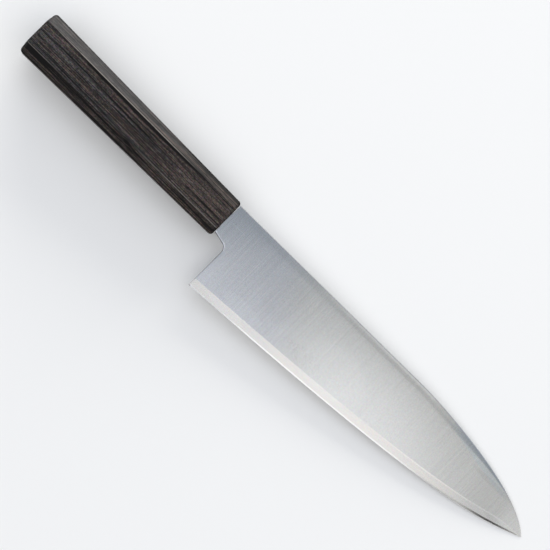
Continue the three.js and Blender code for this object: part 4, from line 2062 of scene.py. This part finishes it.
@dataclass(frozen=True)
class LightTent:
    """Soft tent all round: a roof with dark gaps and bright panels, pale walls and a dim skirt.

    Attributes:
        openings: Gaps in the cloth.
        panels: Panels behind it.
        cool: Tint of the cloth on the butt's and the spine's side.
        warm: Tint of the cloth on the tip's side.
        tint_reach: Sideways share of a direction at which the cool tint ends and the warm one starts.
        roof: Brightness of the cloth overhead, with 1 for white.
        back_roof: Brightness of the roof on the spine's side.
        back_reach: Forward share of a direction at which the roof starts to dim and at which it has.
        wall: Brightness of the cloth half way up.
        wall_angles: Where the roof turns into the wall, from straight up.
        skirt: Brightness of the cloth near the floor, in front of the edge and behind the spine.
        flank_skirt: Brightness of the cloth near the floor beyond the butt and the tip.
        flank_reach: Sideways share of a direction at which the flank starts and at which it is whole.
        skirt_angles: Where the skirt turns into the wall, above the floor.
        skirt_lean: How much higher the skirt is on the edge's side and lower on the spine's.
    """

    openings: tuple[TentOpening, ...] = (
        TentOpening((-0.016, 0.081, 1.0), (5.4, 8.3), (0.325, 0.365, 0.400)),
        TentOpening((0.307, -0.168, 1.0), (1.1, 2.5), (0.0, 0.0, 0.0)),
    )
    panels: tuple[TentPanel, ...] = (
        TentPanel((0.169, -0.222), (0.079, 0.246), (0.696, 0.703, 0.728), 0.125),
        TentPanel((0.384, -0.008), (0.08, 0.16), (0.221, 0.220, 0.214), 0.4),
        TentPanel((0.0, -0.238), (0.15, 0.229), (0.275, 0.279, 0.284), 0.2),
    )
    cool: Colour = (0.94, 0.985, 1.07)
    warm: Colour = (1.0, 1.0, 0.985)
    tint_reach: Point = (0.02, 0.14)
    roof: float = 0.593
    back_roof: float = 0.338
    back_reach: Point = (0.172, 0.200)
    wall: float = 1.05
    wall_angles: Point = (21.0, 31.0)
    skirt: float = 0.13
    flank_skirt: float = 0.42
    flank_reach: Point = (0.35, 0.62)
    skirt_angles: Point = (6.0, 22.0)
    skirt_lean: float = 20.0

    def pitch(self) -> None:
        """Sets the tent up as the scene's world."""
        world = bpy.data.worlds.new("light_tent")
        world.use_nodes = True
        graph = Graph(world.node_tree)
        way = graph.add("ShaderNodeTexCoord", output="Generated")
        sideways, forward, upward = graph.split(way)
        up = graph.math("ARCSINE", upward) * math.degrees(1.0)

        back = graph.smooth(forward, *self.back_reach)
        roof = self.roof + (self.back_roof - self.roof) * back
        high = roof + (self.wall - roof) * graph.smooth(90.0 - up, *self.wall_angles)
        flank = graph.smooth(graph.math("ABSOLUTE", sideways), *self.flank_reach)
        skirt = self.skirt + (self.flank_skirt - self.skirt) * flank
        raised = graph.smooth(up + self.skirt_lean * forward, *self.skirt_angles)
        glow = skirt + (high - skirt) * raised
        warmth = graph.smooth(sideways, *self.tint_reach) * (1.0 - back)
        cloth = graph.mix_colours(self.cool, self.warm, warmth)
        cloth = graph.multiply(cloth, graph.grey(glow))
        slopes = (sideways / upward, forward / upward)
        for panel in self.panels:
            off = graph.oval(slopes, panel.place, panel.half)
            share = graph.smooth(off, 1.0 + panel.softness, 1.0 - panel.softness)
            cloth = graph.mix_colours(cloth, panel.colour, share * (upward > 0.0), Blend.ADD)
        for opening in self.openings:
            axis = Vector(opening.way).normalized()
            facing = graph.measure("DOT_PRODUCT", way, axis)
            away = graph.math("ARCCOSINE", facing) * math.degrees(1.0)
            cloth = graph.mix_colours(opening.colour, cloth, graph.smooth(away, *opening.angles))
        background = graph.add("ShaderNodeBackground", sockets={"Color": cloth, "Strength": 1.0})
        graph.add("ShaderNodeOutputWorld", sockets={"Surface": background}, output=None)
        bpy.context.scene.world = world


@dataclass(frozen=True)
class Studio:
    """Pale floor, soft light and the camera nearly straight above the knife.

    Attributes:
        camera_place: Where the camera hangs, in metres.
        camera_tilt: How far it leans from straight down.
        camera_turn: How far it is turned about the way that it looks.
        lens: Its focal length.
        sensor: Width of its sensor.
        floor_half: Half the floor's width, in metres.
        tent: Light from all round.
        lamps: Light from one side.
    """

    camera_place: Triple = (-0.006056, -0.045245, 1.05)
    camera_tilt: float = 3.0
    camera_turn: float = 44.759
    lens: float = 135.46
    sensor: float = 36.0
    floor_half: float = 6.0
    tent: LightTent = LightTent()
    lamps: tuple[SoftLamp, ...] = (
        SoftLamp(
            "window", (-1.1, 2.7, 0.6), (-0.1, 0.0, 0.0),
            (3.0, 0.96), 9.6, (1.0, 1.0, 0.955),
        ),
    )

    def build(self, finish: PaleFloor) -> None:
        """Builds the floor, the light and the camera.

        Args:
            finish: The floor's finish.
        """
        half = self.floor_half
        mesh = bpy.data.meshes.new("floor")
        corners = [(-half, -half, 0.0), (half, -half, 0.0), (half, half, 0.0), (-half, half, 0.0)]
        mesh.from_pydata(corners, [], [(0, 1, 2, 3)])
        mesh.materials.append(finish.make())
        new_object("floor", mesh)

        self.tent.pitch()
        for lamp in self.lamps:
            lamp.hang()

        camera = bpy.data.cameras.new("camera")
        camera.sensor_width = self.sensor
        camera.lens = self.lens
        eye = bpy.data.objects.new("camera", camera)
        eye.location = self.camera_place
        tilt = Quaternion((1.0, 0.0, 0.0), math.radians(self.camera_tilt))
        turn = Quaternion((0.0, 0.0, 1.0), math.radians(self.camera_turn))
        eye.rotation_euler = (tilt @ turn).to_euler()
        bpy.context.scene.collection.objects.link(eye)
        bpy.context.scene.camera = eye
        bpy.context.scene.view_settings.view_transform = "Standard"


def main() -> None:
    """Builds the knife and its studio, piece by piece."""
    logging.basicConfig(level=logging.INFO, format="%(name)s: %(message)s")
    fittings = TangFittings()
    placing = Placing.along_axis(fittings.seal_length)
    log.info("leans %.3f degrees", math.degrees(placing.lean))

    blade = Blade()
    made = blade.build(placing)
    blade.dress(made, SatinSteel(), placing)
    log.info("%s: %d faces", made.name, len(made.data.polygons))

    handle = Handle()
    made = handle.build(placing, StreakedHardwood())
    handle.dress(made)
    log.info("%s: %d faces", made.name, len(made.data.polygons))

    for fitting in fittings.dress(placing):
        log.info("%s: %d faces", fitting.name, len(fitting.data.polygons))

    Studio().build(PaleFloor())
    log.info("studio ready")


if __name__ == "__main__":
    main()
